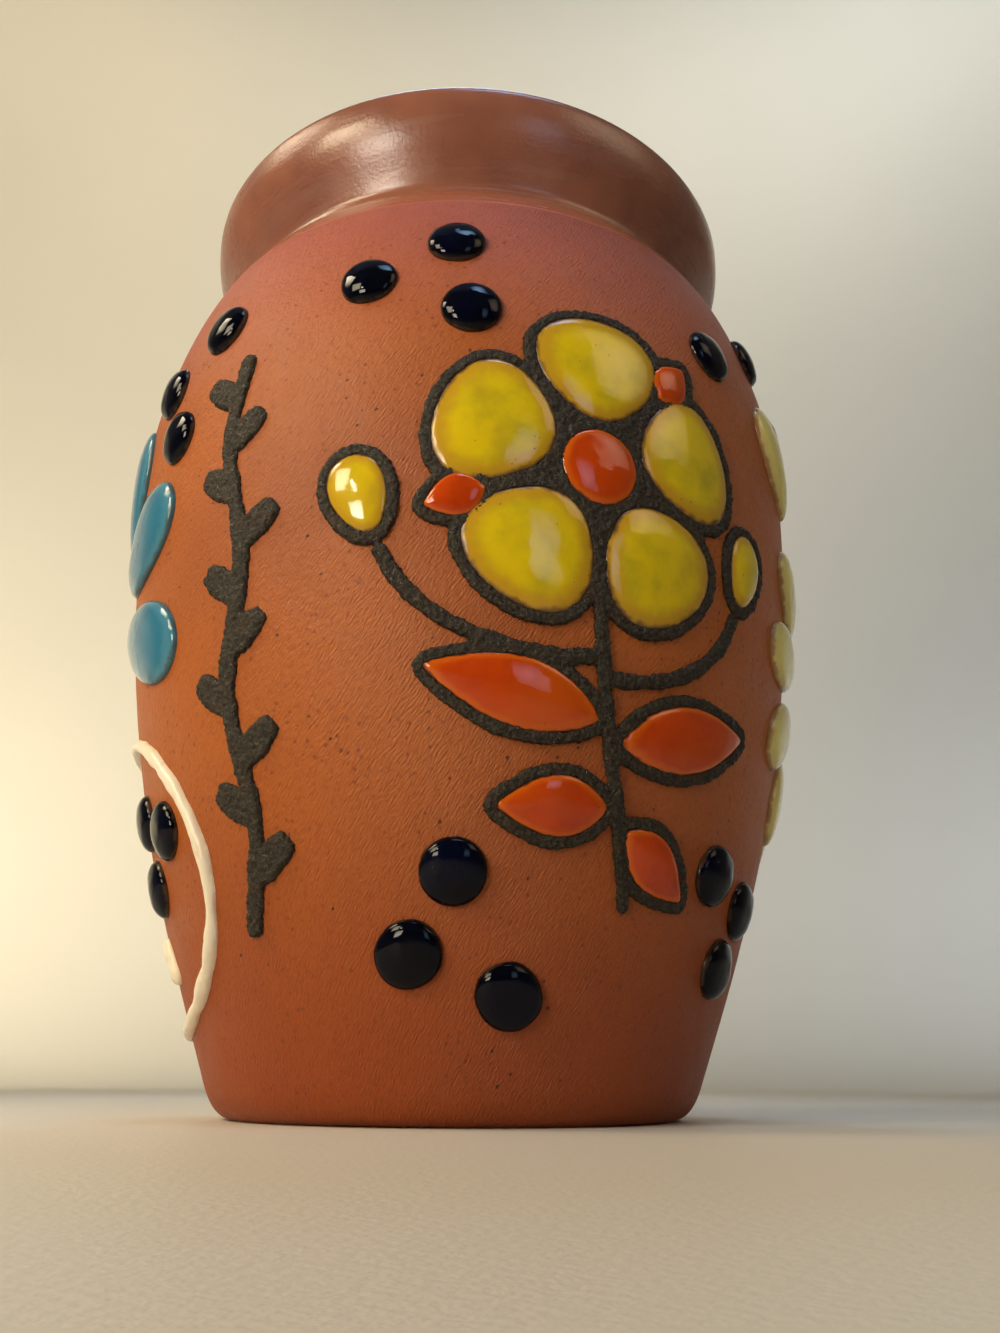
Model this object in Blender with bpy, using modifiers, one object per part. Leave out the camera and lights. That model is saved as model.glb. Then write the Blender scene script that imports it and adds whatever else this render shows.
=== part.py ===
"""Terracotta vase with a flared glazed collar and raised glaze decoration.

The clay is one turned form. A clear brown glaze coats the collar, and the decoration is
laid on the wall in separate deposits: matt black outlines, pools of coloured glaze
between them, round cobalt dots in threes, plain lobes and a white line.
Sizes are in metres, +Z is up, the origin is the middle of the flat base, and the main
picture faces -Y.
"""

import math

import bmesh
import bpy
from mathutils import Matrix, Vector

# The turned form, from the base up
BASE_RADIUS = 0.0500
HEEL_RADIUS = 0.0576
HEEL_RISE = 0.0073
BELLY_RADIUS = 0.0868
BELLY_RISE = 0.1477
SHOULDER_RISE = 0.0594
NECK_RADIUS = 0.0679
COLLAR_RISE = 0.0256
LIP_RADIUS = 0.0755
WALL = 0.0060
FLOOR = 0.0080
CREASE_ROUND = 0.0035
INNER_HEEL_ROUND = 0.0140

# Slopes of the outline, from upright for the heel and from level for the others
HEEL_LEAN = math.radians(20)
SHOULDER_SLOPE = math.radians(40)
COLLAR_SLOPE = math.radians(66)

# How far each curve keeps its end slope, as a share of its rise
HEEL_PULL = 0.255
BELLY_PULL_BELOW = 0.478
BELLY_PULL_ABOVE = 0.32
SHOULDER_PULL = 0.20
COLLAR_PULL = 0.42
ROUND_PULL = 0.55

# The glaze coat on the collar
COAT = 0.0007
GLAZE_DROP = 0.0129
THROAT_DEPTH = 0.0480

# What every deposit keeps clear of the clay and of its neighbours
GAP = 0.0003

# The sheet on which the decoration was drawn, shaped like the wall: its radius at the
# girth, its rise, the girth's share of that rise, and the shares of the radius by which
# it narrows to its foot and to its top
SHEET_RADIUS = 0.0868
SHEET_RISE = 0.2109
SHEET_GIRTH = 0.772
SHEET_FOOT_LOSS = 0.393
SHEET_TOP_LOSS = 0.126

# Raised black slip
LINE_WIDTH = 0.0028
LINE_EDGE = 0.0008
LINE_CROWN = 0.0006
LINE_ROUND = 0.0007
STROKE_TIP = 0.4

# Pools of coloured glaze, and the shares of width and crown where the dome bends
POOL_EDGE = 0.0007
POOL_CROWN = 0.0017
LOBE_CROWN = 0.0026
DOME_WIDTH = 0.62
DOME_LIFT = 0.78
UNDERSIDE_WIDTH = 0.5

# Cobalt dots
DOT_WIDTH = 0.0132
DOT_EDGE = 0.0006
DOT_CROWN = 0.0026

# Blossoms: the heart, and petals from the heart's line outwards
HEART_WIDTH = 0.0156
PETAL_LENGTH = 0.0242
PETAL_WIDTH = 0.0320
PETALS = 5
EGG_FOOT = 0.62
EGG_SWELL = 0.42
LEAF_LEAN = 0.85
LEAF_FULLNESS = 0.9

# The main picture: its place, its blossom above that, and the stem down from the blossom
FRONT_BEARING = 16
SPRAY_RISE = 0.1130
SPRAY_BLOOM = (0.004, 0.022)
SPRAY_STEM = (SPRAY_BLOOM, (0.003, -0.030), (0.013, -0.050), (0.014, -0.068))
STEM_WIDTH = 0.0032

# Its leaves: share of the way down the stem, direction in degrees, length, width
SPRAY_LEAVES = (
    (0.50, 12, 0.0350, 0.0125),
    (0.70, -38, 0.0185, 0.0100),
    (0.45, 166, 0.0350, 0.0125),
    (0.66, 182, 0.0210, 0.0106),
)

# Its sepals, in two of the gaps between the petals
SEPAL_TURNS = (54, 198)
SEPAL_LENGTH = 0.0115
SEPAL_WIDTH = 0.0080
SEPAL_SHARE = 0.6

# Its branches, each with a bud: share of the way down the stem, then the way from there
SPRAY_BRANCHES = (
    (0.31, ((-0.012, -0.022), (-0.034, -0.014), (-0.041, 0.003))),
    (0.35, ((0.016, -0.024), (0.036, -0.018), (0.042, -0.001))),
)
BUD_LENGTH = 0.0170
BUD_WIDTH = 0.0125

# The black leafy vine on its left, which ends below the dots of the fan
VINE_FOOT = 0.0405
VINE_TO_SPRAY = 0.0072
VINE_TO_DOTS = 0.0061
VINE_SWAY = 0.0022
VINE_WAVE = 0.0560
VINE_LEAVES = 10
VINE_STEM_WIDTH = 0.0044
VINE_LEAF_LENGTH = 0.0115
VINE_LEAF_WIDTH = 0.0078
VINE_LEAF_SPREAD = 52
VINE_LEAF_POINTS = 8

# Dots in threes: the three round the middle of each group
DOT_SPOTS = {
    "top": ((0.005, 0.0115), (-0.0140, 0.0), (0.0090, -0.0095)),
    "top_left": ((0.0110, 0.0110), (-0.0090, 0.0025), (-0.0022, -0.0132)),
    "top_right": ((-0.0140, -0.0030), (0.0150, 0.0140), (0.0345, 0.0010)),
    "foot": ((-0.0008, 0.0127), (-0.0090, -0.0028), (0.0102, -0.0105)),
    "foot_right": ((-0.0092, 0.0076), (0.0078, 0.0022), (0.0014, -0.0113)),
    "foot_left": ((-0.0058, 0.0079), (0.0093, 0.0035), (-0.0035, -0.0077)),
    "back": ((-0.0090, 0.0070), (0.0090, 0.0040), (0.0010, -0.0110)),
}

# Groups above the main picture: direction from its blossom and distance off its petals.
# Groups below it, in the loop and on the back: place from the stem's end, from the loop's
# middle and from the back's middle. The fan's group: direction and distance off its lobes
TOP_DOTS = (128.8, 0.0193)
TOP_RIGHT_DOTS = (42.9, 0.0261)
FOOT_DOTS = (-0.0330, -0.0060)
FOOT_RIGHT_DOTS = (0.0343, 0.0030)
FOOT_LEFT_DOTS = (0.0191, 0.0055)
BACK_DOTS = (-0.0365, -0.0670)
TOP_LEFT_DOTS = (40.4, 0.0162)

# Blue-green lobes spread as a fan on the left
FAN_TO_VINE = 0.0104
FAN_RISE = 0.1230
FAN_INNER = 0.0190
FAN_LOBES = 5
FAN_STEP = 40
FAN_START = -20
FAN_LOBE_LENGTH = 0.0360
FAN_LOBE_WIDTH = 0.0230

# White line loop at the lower left, with a short stroke inside
LOOP_TO_VINE = 0.0014
LOOP_RISE = 0.0570
LOOP_HALF_WIDTH = 0.0435
LOOP_HALF_HEIGHT = 0.0340
LOOP_POINTS = 28
WHITE_WIDTH = 0.0036
WHITE_HEIGHT = 0.0016
STROKE = ((0.0125, -0.0235), (0.0115, -0.0195), (0.0095, -0.0155), (0.0060, -0.0130))

# Pale yellow lobes on the right: a fan of them, and one more farther out above it
FROND_TO_SPRAY = 0.0075
FROND_RISE = 0.1130
FROND_INNER = 0.0200
FROND_LOBES = 5
FROND_STEP = 30
FROND_START = 150
FROND_OUTER_TURN = 133
FROND_OUTER_INNER = 0.0525
FROND_LOBE_LENGTH = 0.0300
FROND_LOBE_WIDTH = 0.0185

# The blossom on the back
BACK_BEARING = 180
BACK_RISE = 0.1150
BACK_BLOOM = (0.0, 0.016)
BACK_STEM = (BACK_BLOOM, (-0.004, -0.030), (0.006, -0.044), (0.000, -0.058))
BACK_LEAVES = ((0.62, 28, 0.0260), (0.56, 150, 0.0260))
BACK_LEAF_WIDTH = 0.0110

# Fineness: sides of the turned form, then points on its heel, belly and shoulder, and on
# its neck, crease and collar, first outside and then inside
SIDES = 40
OUTSIDE_BELOW = (3, 8, 5)
OUTSIDE_ABOVE = (3, 2, 4)
INSIDE_BELOW = (2, 6, 4)
INSIDE_ABOVE = (2, 1, 3)
LIP_POINTS = 3
INNER_HEEL_POINTS = 5
SHEET_SAMPLES = (20, 160, 80)
PETAL_POINTS = 12
LEAF_POINTS = 10
DOT_POINTS = 12
STEM_POINTS = 8
BRANCH_POINTS = 6
CURVE_HALVINGS = 40

# Tolerances: points that count as one, the shortest step of a slip outline, how far its
# corners may lie off a straight run to be left out, the girth under which a hole in it
# fills up, the upward share of a normal below which a face counts as an underside, and
# the angle from which edges stay sharp
WELD = 0.00005
SHORTEST_STEP = 0.0004
STRAIGHTNESS = 0.00003
FILLED_GIRTH = 0.0060
FACES_DOWN = -0.5
SHARP_ANGLE = math.radians(50)

GIRTH_HEIGHT = HEEL_RISE + BELLY_RISE
NECK_HEIGHT = GIRTH_HEIGHT + SHOULDER_RISE
TOP = NECK_HEIGHT + COLLAR_RISE
GLAZE_HEIGHT = NECK_HEIGHT - GLAZE_DROP
SINK = COAT + GAP
STAND_OFF = (STEM_WIDTH + LINE_WIDTH) / 2

# The longest straight step round the girth that dips by no more than this share of the gap
DIP_SHARE = 0.8
STRAIGHT_REACH = math.sqrt(8 * BELLY_RADIUS * GAP * DIP_SHARE)

# Colours as linear red, green and blue, then roughness
FINISHES = {
    "clay": ((0.42, 0.115, 0.040), 0.62),
    "collar": ((0.22, 0.085, 0.050), 0.14),
    "black_slip": ((0.022, 0.019, 0.014), 0.70),
    "yellow": ((0.66, 0.47, 0.010), 0.12),
    "orange": ((0.62, 0.075, 0.006), 0.12),
    "cobalt": ((0.006, 0.007, 0.030), 0.06),
    "blue_green": ((0.030, 0.20, 0.32), 0.12),
    "pale_yellow": ((0.72, 0.66, 0.22), 0.15),
    "white": ((0.82, 0.76, 0.64), 0.18),
}


def clear_scene():
    """Takes every object out of the scene."""
    for obj in list(bpy.data.objects):
        bpy.data.objects.remove(obj, do_unlink=True)


def collection(name):
    """A new collection in the scene."""
    made = bpy.data.collections.new(name)
    bpy.context.scene.collection.children.link(made)
    return made


def material(name, finish):
    """A Principled material in one of the finishes."""
    colour, roughness = FINISHES[finish]
    made = bpy.data.materials.new(name)
    made.use_nodes = True
    shader = made.node_tree.nodes["Principled BSDF"]
    shader.inputs["Base Color"].default_value = (*colour, 1)
    shader.inputs["Roughness"].default_value = roughness
    shader.inputs["Metallic"].default_value = 0
    made.diffuse_color = (*colour, 1)
    return made


def curve_point(ends, share):
    """The point at this share along a cubic curve given by four points."""
    a, b, c, d = ends
    rest = 1 - share
    return a * rest**3 + b * 3 * rest**2 * share + c * 3 * rest * share**2 + d * share**3


def curve_points(ends, count, low=0.0, high=1.0):
    """Evenly spaced points along a stretch of a cubic curve, both ends included."""
    return [curve_point(ends, low + (high - low) * i / (count - 1)) for i in range(count)]


def share_at_height(ends, height):
    """The share along a rising curve where it reaches this height."""
    low, high = 0.0, 1.0
    for _ in range(CURVE_HALVINGS):
        middle = (low + high) / 2
        if curve_point(ends, middle).y < height:
            low = middle
        else:
            high = middle
    return (low + high) / 2


def heel_curve():
    """The rounded edge between the flat base and the wall."""
    base = Vector((BASE_RADIUS, 0))
    top = Vector((HEEL_RADIUS, HEEL_RISE))
    slope = Vector((math.sin(HEEL_LEAN), math.cos(HEEL_LEAN)))
    reach = (HEEL_RADIUS - BASE_RADIUS) * ROUND_PULL
    return base, base + Vector((reach, 0)), top - slope * HEEL_RISE * ROUND_PULL, top


def belly_curve():
    """The wall from the heel to the widest point."""
    start = Vector((HEEL_RADIUS, HEEL_RISE))
    end = Vector((BELLY_RADIUS, GIRTH_HEIGHT))
    slope = Vector((math.sin(HEEL_LEAN), math.cos(HEEL_LEAN)))
    pull = Vector((0, BELLY_PULL_BELOW * BELLY_RISE))
    return start, start + slope * HEEL_PULL * BELLY_RISE, end - pull, end


def crease_middle():
    """The middle of the crease's round, which lies outside the clay."""
    return Vector((NECK_RADIUS + CREASE_ROUND, NECK_HEIGHT))


def shoulder_curve():
    """The wall from the widest point to the crease under the collar."""
    start = Vector((BELLY_RADIUS, GIRTH_HEIGHT))
    across = Vector((math.cos(SHOULDER_SLOPE), -math.sin(SHOULDER_SLOPE)))
    outwards = Vector((math.sin(SHOULDER_SLOPE), math.cos(SHOULDER_SLOPE)))
    end = crease_middle() - outwards * CREASE_ROUND
    lift = Vector((0, BELLY_PULL_ABOVE * SHOULDER_RISE))
    return start, start + lift, end + across * SHOULDER_PULL * SHOULDER_RISE, end


def crease_points(count):
    """The hollow round between the shoulder and the collar, its ends left out."""
    first = math.pi * 1.5 - SHOULDER_SLOPE
    last = math.pi / 2 + COLLAR_SLOPE
    turns = [first + (last - first) * (i + 1) / (count + 1) for i in range(count)]
    middle = crease_middle()
    return [middle + CREASE_ROUND * Vector((math.cos(t), math.sin(t))) for t in turns]


def collar_curve():
    """The flared face of the collar, up to where the lip starts to turn in."""
    outwards = Vector((math.sin(COLLAR_SLOPE), -math.cos(COLLAR_SLOPE)))
    start = crease_middle() - outwards * CREASE_ROUND
    end = Vector((LIP_RADIUS, TOP - WALL / 2))
    along = Vector((math.cos(COLLAR_SLOPE), math.sin(COLLAR_SLOPE)))
    pull = (end - start).length * COLLAR_PULL
    return start, start + along * pull, end - Vector((0, pull)), end


def lip_points(count):
    """The rounded top of the lip, its ends left out, from outside to inside."""
    middle = Vector((LIP_RADIUS - WALL / 2, TOP - WALL / 2))
    turns = [math.pi * (i + 1) / (count + 1) for i in range(count)]
    return [middle + WALL / 2 * Vector((math.cos(t), math.sin(t))) for t in turns]


def below_glaze(heel, belly, shoulder):
    """The bare outside from the base edge to the glaze border, in so many points each."""
    border = share_at_height(shoulder_curve(), GLAZE_HEIGHT)
    return (
        curve_points(heel_curve(), heel)
        + curve_points(belly_curve(), belly)[1:]
        + curve_points(shoulder_curve(), shoulder, 0.0, border)[1:]
    )


def above_glaze(neck, crease, collar):
    """The glazed outside from the border up to where the lip starts to turn in."""
    border = share_at_height(shoulder_curve(), GLAZE_HEIGHT)
    return (
        curve_points(shoulder_curve(), neck, border, 1.0)
        + crease_points(crease)
        + curve_points(collar_curve(), collar)
    )


def normals(points):
    """Unit normals of a line of (radius, height) points, to the right of its way."""
    found = []
    for i in range(len(points)):
        along = points[min(i + 1, len(points) - 1)] - points[max(i - 1, 0)]
        found.append(Vector((along.y, -along.x)).normalized())
    return found


def moved_in(points, depth):
    """The line moved this deep to the left of its way."""
    return [p - n * depth for p, n in zip(points, normals(points))]


def split_at_height(points, height):
    """The line cut in two where it first falls below this height, the cut in both."""
    for i in range(1, len(points)):
        if points[i].y <= height:
            above, below = points[i - 1], points[i]
            share = (above.y - height) / (above.y - below.y)
            cut = above.lerp(below, share)
            return points[:i] + [cut], [cut.copy()] + points[i:]
    return points, points[-1:]


def inside_wall():
    """The finished inside from the lip down to where the inner heel starts."""
    outside = below_glaze(*INSIDE_BELOW) + above_glaze(*INSIDE_ABOVE)[1:]
    inside = moved_in(outside, WALL)[::-1]
    return split_at_height(inside, FLOOR + INNER_HEEL_ROUND)[0]


def inner_heel(last, before):
    """The round from the inside wall onto the floor, and the floor's middle."""
    down = (last - before).normalized() * INNER_HEEL_ROUND
    pull = INNER_HEEL_ROUND * ROUND_PULL
    foot = Vector((last.x + down.x - pull, FLOOR))
    ends = (last, last + down * ROUND_PULL, foot + Vector((pull, 0)), foot)
    return curve_points(ends, INNER_HEEL_POINTS)[1:] + [Vector((0, FLOOR))]


def glazed_run():
    """The finished line under the coat: border, crease, collar, lip and throat."""
    throat, below = split_at_height(inside_wall(), TOP - THROAT_DEPTH)
    return above_glaze(*OUTSIDE_ABOVE) + lip_points(LIP_POINTS) + throat, below


def turned(name, points, closed, finish, group):
    """A solid turned from a line of (radius, height) points round the Z axis."""
    mesh = bpy.data.meshes.new(name)
    count = len(points)
    edges = [(i, i + 1) for i in range(count - 1)]
    if closed:
        edges.append((count - 1, 0))
    mesh.from_pydata([(p.x, 0, p.y) for p in points], edges, [])
    obj = bpy.data.objects.new(name, mesh)
    group.objects.link(obj)
    screw = obj.modifiers.new("turn", "SCREW")
    screw.steps = SIDES
    screw.render_steps = SIDES
    screw.use_merge_vertices = True
    screw.merge_threshold = WELD
    screw.use_smooth_shade = True
    mesh.materials.append(material(name, finish))
    return obj


def build_clay(group):
    """The clay: bare wall and inside, sunk under the coat by its thickness and gap."""
    run, below = glazed_run()
    sunk = moved_in(run, SINK)
    inside = below + inner_heel(below[-1], below[-2])
    outside = below_glaze(*OUTSIDE_BELOW)[::-1] + [Vector((0, 0))]
    return turned("vase_body", inside[::-1] + sunk[::-1] + outside, False, "clay", group)


def shortened(points, by):
    """The line with both ends drawn in by this much."""
    first = points[0] + (points[1] - points[0]).normalized() * by
    last = points[-1] + (points[-2] - points[-1]).normalized() * by
    return [first] + points[1:-1] + [last]


def build_coat(group):
    """The glaze coat, which hugs the collar from the border over the lip to the throat."""
    run, _ = glazed_run()
    skin = shortened(run, GAP)
    under = shortened(moved_in(run, COAT), GAP)
    return turned("collar_glaze", skin[::-1] + under, True, "collar", group)


class Wall:
    """The bare outside as a sheet: distance up the wall to radius, height and normal."""

    def __init__(self):
        points = below_glaze(*SHEET_SAMPLES)
        self.points = points
        self.normals = normals(points)
        self.walks = [0.0]
        for a, b in zip(points, points[1:]):
            self.walks.append(self.walks[-1] + (b - a).length)
        self.band = self.walks[-1]

    def at(self, walk):
        """Point and normal of the outline this far up the wall."""
        low, high = 0, len(self.walks) - 1
        while high - low > 1:
            middle = (low + high) // 2
            if self.walks[middle] <= walk:
                low = middle
            else:
                high = middle
        share = (walk - self.walks[low]) / (self.walks[high] - self.walks[low])
        point = self.points[low].lerp(self.points[high], share)
        normal = self.normals[low].lerp(self.normals[high], share).normalized()
        return point, normal


def sheet_radius(rise):
    """The radius of the sheet this far up."""
    girth = SHEET_GIRTH * SHEET_RISE
    if rise < girth:
        return SHEET_RADIUS * (1 - SHEET_FOOT_LOSS * (1 - rise / girth) ** 2)
    return SHEET_RADIUS * (1 - SHEET_TOP_LOSS * ((rise - girth) / (SHEET_RISE - girth)) ** 2)


class Patch:
    """Flat drawing coordinates wrapped onto the wall round one point of it."""

    def __init__(self, wall, turn, rise):
        self.wall = wall
        self.turn = turn
        self.rise = rise
        self.up = wall.band / SHEET_RISE

    def beside(self, across, rise):
        """The patch this far across from here, measured at the other's own rise."""
        return Patch(self.wall, self.turn + across / sheet_radius(rise), rise)

    def near(self, spot):
        """The patch whose middle is at this spot of the drawing."""
        return self.beside(spot[0], self.rise + spot[1])

    def place(self, flat):
        """The place on the vase of a point drawn at x, y and lifted by z."""
        rise = self.rise + flat.y
        point, normal = self.wall.at(rise * self.up)
        turn = self.turn + flat.x / sheet_radius(rise)
        lifted = point + normal * (GAP + flat.z)
        return Vector((lifted.x * math.sin(turn), -lifted.x * math.cos(turn), lifted.y))


def face_outwards(bm):
    """Makes the faces of a closed solid agree and point outwards."""
    bmesh.ops.recalc_face_normals(bm, faces=bm.faces[:])
    if bm.calc_volume(signed=True) < 0:
        bmesh.ops.reverse_faces(bm, faces=bm.faces[:])


def settle(bm, name, patch, spot, finish, group):
    """Wraps a flat solid onto the wall as an object whose origin is at its own spot."""
    bmesh.ops.triangulate(bm, faces=bm.faces[:])
    origin = patch.place(Vector((spot[0], spot[1], 0)))
    for vert in bm.verts:
        vert.co = patch.place(vert.co) - origin
    face_outwards(bm)
    mesh = bpy.data.meshes.new(name)
    bm.to_mesh(mesh)
    bm.free()
    mesh.shade_smooth()
    mesh.set_sharp_from_angle(angle=SHARP_ANGLE)
    mesh.materials.append(material(name, finish))
    obj = bpy.data.objects.new(name, mesh)
    obj.location = origin
    group.objects.link(obj)
    return obj


def turned_and_moved(points, degrees, spot):
    """Flat points turned round the origin, then moved to the spot."""
    turn = Matrix.Rotation(math.radians(degrees), 2)
    return [turn @ p + Vector(spot) for p in points]


def egg(length, width, count):
    """A rounded petal or bud along +X, narrower at its foot."""
    points = []
    for i in range(count):
        turn = 2 * math.pi * i / count
        along = (1 - math.cos(turn)) / 2
        swell = EGG_FOOT + EGG_SWELL * along
        points.append(Vector((length * along, -width / 2 * math.sin(turn) * swell)))
    return points


def leaf(length, width, count):
    """A leaf along +X, pointed at both ends and widest before its middle."""
    half = count // 2
    upper = []
    for i in range(half + 1):
        along = i / half
        swell = math.sin(math.pi * along**LEAF_LEAN) ** LEAF_FULLNESS if 0 < i < half else 0
        upper.append(Vector((length * along, width / 2 * swell)))
    lower = [Vector((p.x, -p.y)) for p in upper[1:-1]]
    return lower + upper[::-1]


def disc(width, count):
    """A round outline."""
    turns = [2 * math.pi * i / count for i in range(count)]
    return [Vector((width / 2 * math.cos(t), width / 2 * math.sin(t))) for t in turns]


def ribbon(line, width):
    """The outline of a stroke of even width along a line of points, with round ends."""
    left, right = [], []
    for i in range(len(line)):
        along = (line[min(i + 1, len(line) - 1)] - line[max(i - 1, 0)]).normalized()
        side = Vector((-along.y, along.x)) * width / 2
        left.append(line[i] + side)
        right.append(line[i] - side)
    start = line[0] - (line[1] - line[0]).normalized() * width * STROKE_TIP
    end = line[-1] + (line[-1] - line[-2]).normalized() * width * STROKE_TIP
    return [start] + right + [end] + left[::-1]


def grown(points, by):
    """A closed outline with every corner moved outwards."""
    found = []
    count = len(points)
    for i in range(count):
        along = points[(i + 1) % count] - points[i - 1]
        found.append(points[i] + Vector((along.y, -along.x)).normalized() * by)
    return found


def flat_face(bm, outline):
    """A filled ring whose corners lie on the outline."""
    ring = bmesh.ops.create_circle(bm, cap_ends=True, segments=len(outline), radius=1)
    for vert, point in zip(ring["verts"], outline):
        vert.co = (point.x, point.y, 0)
    return bm.faces[:][-1]


def thickened(bm, face, thick):
    """Extrudes a flat face upwards into a plate and gives its top face and its bottom."""
    made = bmesh.ops.extrude_face_region(bm, geom=[face])["geom"]
    top = next(part for part in made if isinstance(part, bmesh.types.BMFace))
    for vert in top.verts:
        vert.co.z += thick
    return top, face


def drawn_in(bm, face, share, lift, middle):
    """Insets a face, draws it in to this share round the middle and lifts it."""
    corners = [vert.co.copy() for vert in face.verts]
    bmesh.ops.inset_individual(bm, faces=[face], thickness=0)
    for vert, corner in zip(face.verts, corners):
        vert.co.x = middle.x + (corner.x - middle.x) * share
        vert.co.y = middle.y + (corner.y - middle.y) * share
        vert.co.z = corner.z + lift
    return face


def build_pool(name, outline, edge, crown, patch, finish, group):
    """One domed pool of glaze; a long one has a ring below that bends with the wall."""
    middle = sum(outline, Vector((0, 0))) / len(outline)
    bm = bmesh.new()
    top, bottom = thickened(bm, flat_face(bm, outline), edge)
    drawn_in(bm, top, DOME_WIDTH, (crown - edge) * DOME_LIFT, middle)
    peak = bmesh.ops.poke(bm, faces=[top])["verts"][0]
    peak.co.z = crown
    if max((point - middle).length for point in outline) > STRAIGHT_REACH:
        drawn_in(bm, bottom, UNDERSIDE_WIDTH, 0, middle)
    bmesh.ops.poke(bm, faces=[bottom])
    return settle(bm, name, patch, middle, finish, group)


def plate(outline, low, high, group):
    """A flat solid of this outline between two levels of the sheet, to join or cut with."""
    bm = bmesh.new()
    thickened(bm, flat_face(bm, outline), high - low)
    bmesh.ops.translate(bm, verts=bm.verts[:], vec=(0, 0, low))
    face_outwards(bm)
    mesh = bpy.data.meshes.new("plate")
    bm.to_mesh(mesh)
    bm.free()
    obj = bpy.data.objects.new("plate", mesh)
    obj.hide_render = True
    obj.display_type = "WIRE"
    group.objects.link(obj)
    return obj


def border_loops(bm):
    """The loops of corners round the underside of a flat plate, in a settled order."""
    bm.normal_update()
    beside = {}
    for edge in bm.edges:
        if len({face.normal.z < FACES_DOWN for face in edge.link_faces}) == 2:
            for vert in edge.verts:
                beside.setdefault(vert, []).append(edge.other_vert(vert))
    beside = {vert: ends for vert, ends in beside.items() if vert.co.z < WELD}
    left = sorted(beside, key=lambda vert: vert.co[:])
    loops = []
    while left:
        loop = [left[0], min(beside[left[0]], key=lambda vert: vert.co[:])]
        while True:
            onwards = next(vert for vert in beside[loop[-1]] if vert is not loop[-2])
            if onwards is loop[0]:
                break
            loop.append(onwards)
        loops.append([vert.co.xy for vert in loop])
        left = [vert for vert in left if vert not in loop]
    return loops


def thinned(loop):
    """The loop without corners that crowd the one before or lie on a straight run."""
    kept = []
    for i, point in enumerate(loop):
        before, after = kept[-1] if kept else loop[-1], loop[(i + 1) % len(loop)]
        across = (after - before).orthogonal().normalized()
        bend = abs((point - before).dot(across))
        if (point - before).length > SHORTEST_STEP and bend > STRAIGHTNESS:
            kept.append(point)
    return kept


def girth(loop):
    """The length of the way round a loop of corners."""
    return sum((loop[i] - loop[i - 1]).length for i in range(len(loop)))


def flat_region(loops):
    """Fills the loops as one flat region, with the loops inside others left open."""
    bm = bmesh.new()
    for loop in loops:
        verts = [bm.verts.new((point.x, point.y, 0)) for point in loop]
        for i in range(len(verts)):
            bm.edges.new((verts[i - 1], verts[i]))
    bmesh.ops.triangle_fill(bm, use_beauty=True, edges=bm.edges[:], normal=(0, 0, 1))
    return bm


def joined(solids, hollows):
    """One flat plate of all the solid outlines, with the hollow ones cut out of it."""
    added, cut = collection("added_plates"), collection("cut_plates")
    base = plate(solids[0], 0, LINE_EDGE, bpy.context.scene.collection)
    for outline in solids[1:]:
        plate(outline, 0, LINE_EDGE, added)
    for outline in hollows:
        plate(outline, -LINE_EDGE, 2 * LINE_EDGE, cut)
    for operation, group in (("UNION", added), ("DIFFERENCE", cut)):
        if group.objects:
            step = base.modifiers.new(operation, "BOOLEAN")
            step.operation = operation
            step.operand_type = "COLLECTION"
            step.collection = group
            step.solver = "EXACT"
    bpy.context.view_layer.update()
    bm = bmesh.new()
    bm.from_object(base, bpy.context.evaluated_depsgraph_get())
    for obj in [base] + added.objects[:] + cut.objects[:]:
        bpy.data.objects.remove(obj, do_unlink=True)
    for group in (added, cut):
        bpy.data.collections.remove(group)
    return bm


def build_lines(name, solids, hollows, patch, spot, finish, group):
    """Raised slip in one connected piece, with its upper edges drawn in and crowned."""
    rough = joined(solids, hollows)
    loops = [loop for loop in border_loops(rough) if girth(loop) > FILLED_GIRTH]
    bm = flat_region([thinned(loop) for loop in loops])
    rough.free()
    made = bmesh.ops.extrude_face_region(bm, geom=bm.faces[:])["geom"]
    top = [part for part in made if isinstance(part, bmesh.types.BMFace)]
    for vert in {v for face in top for v in face.verts}:
        vert.co.z = LINE_EDGE
    bmesh.ops.inset_region(
        bm, faces=top, thickness=LINE_ROUND, use_boundary=True, use_even_offset=True
    )
    for vert in {v for face in top for v in face.verts}:
        vert.co.z += LINE_CROWN
    return settle(bm, name, patch, spot, finish, group)


def petal_foot():
    """How far a petal starts from its blossom's middle, past the heart and its line."""
    return HEART_WIDTH / 2 + LINE_WIDTH + 2 * GAP


def blossom(spot):
    """Outlines of a blossom: its petals and its heart."""
    shape = turned_and_moved(egg(PETAL_LENGTH, PETAL_WIDTH, PETAL_POINTS), 0, (petal_foot(), 0))
    petals = [turned_and_moved(shape, 90 + 360 / PETALS * i, spot) for i in range(PETALS)]
    heart = turned_and_moved(disc(HEART_WIDTH, DOT_POINTS), 0, spot)
    return petals, heart


def outlined(pools):
    """The solid round each pool and the hollow that each pool lies in."""
    solids = [grown(pool, GAP + LINE_WIDTH) for pool in pools]
    hollows = [grown(pool, GAP) for pool in pools]
    return solids, hollows


def way(degrees, length):
    """A step of this length in this direction on the sheet."""
    turn = math.radians(degrees)
    return Vector((math.cos(turn), math.sin(turn))) * length


def stem_leaf(ends, share, degrees, length, width, stand_off):
    """A leaf that leaves the stem at a share of its way, so far off the stem's middle."""
    foot = curve_point(ends, share) + way(degrees, stand_off)
    return turned_and_moved(leaf(length, width, LEAF_POINTS), degrees, foot)


def edge(outlines, side):
    """How far the outlines reach to the right, or with side -1 to the left."""
    return max(side * point.x for outline in outlines for point in outline)


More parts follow.
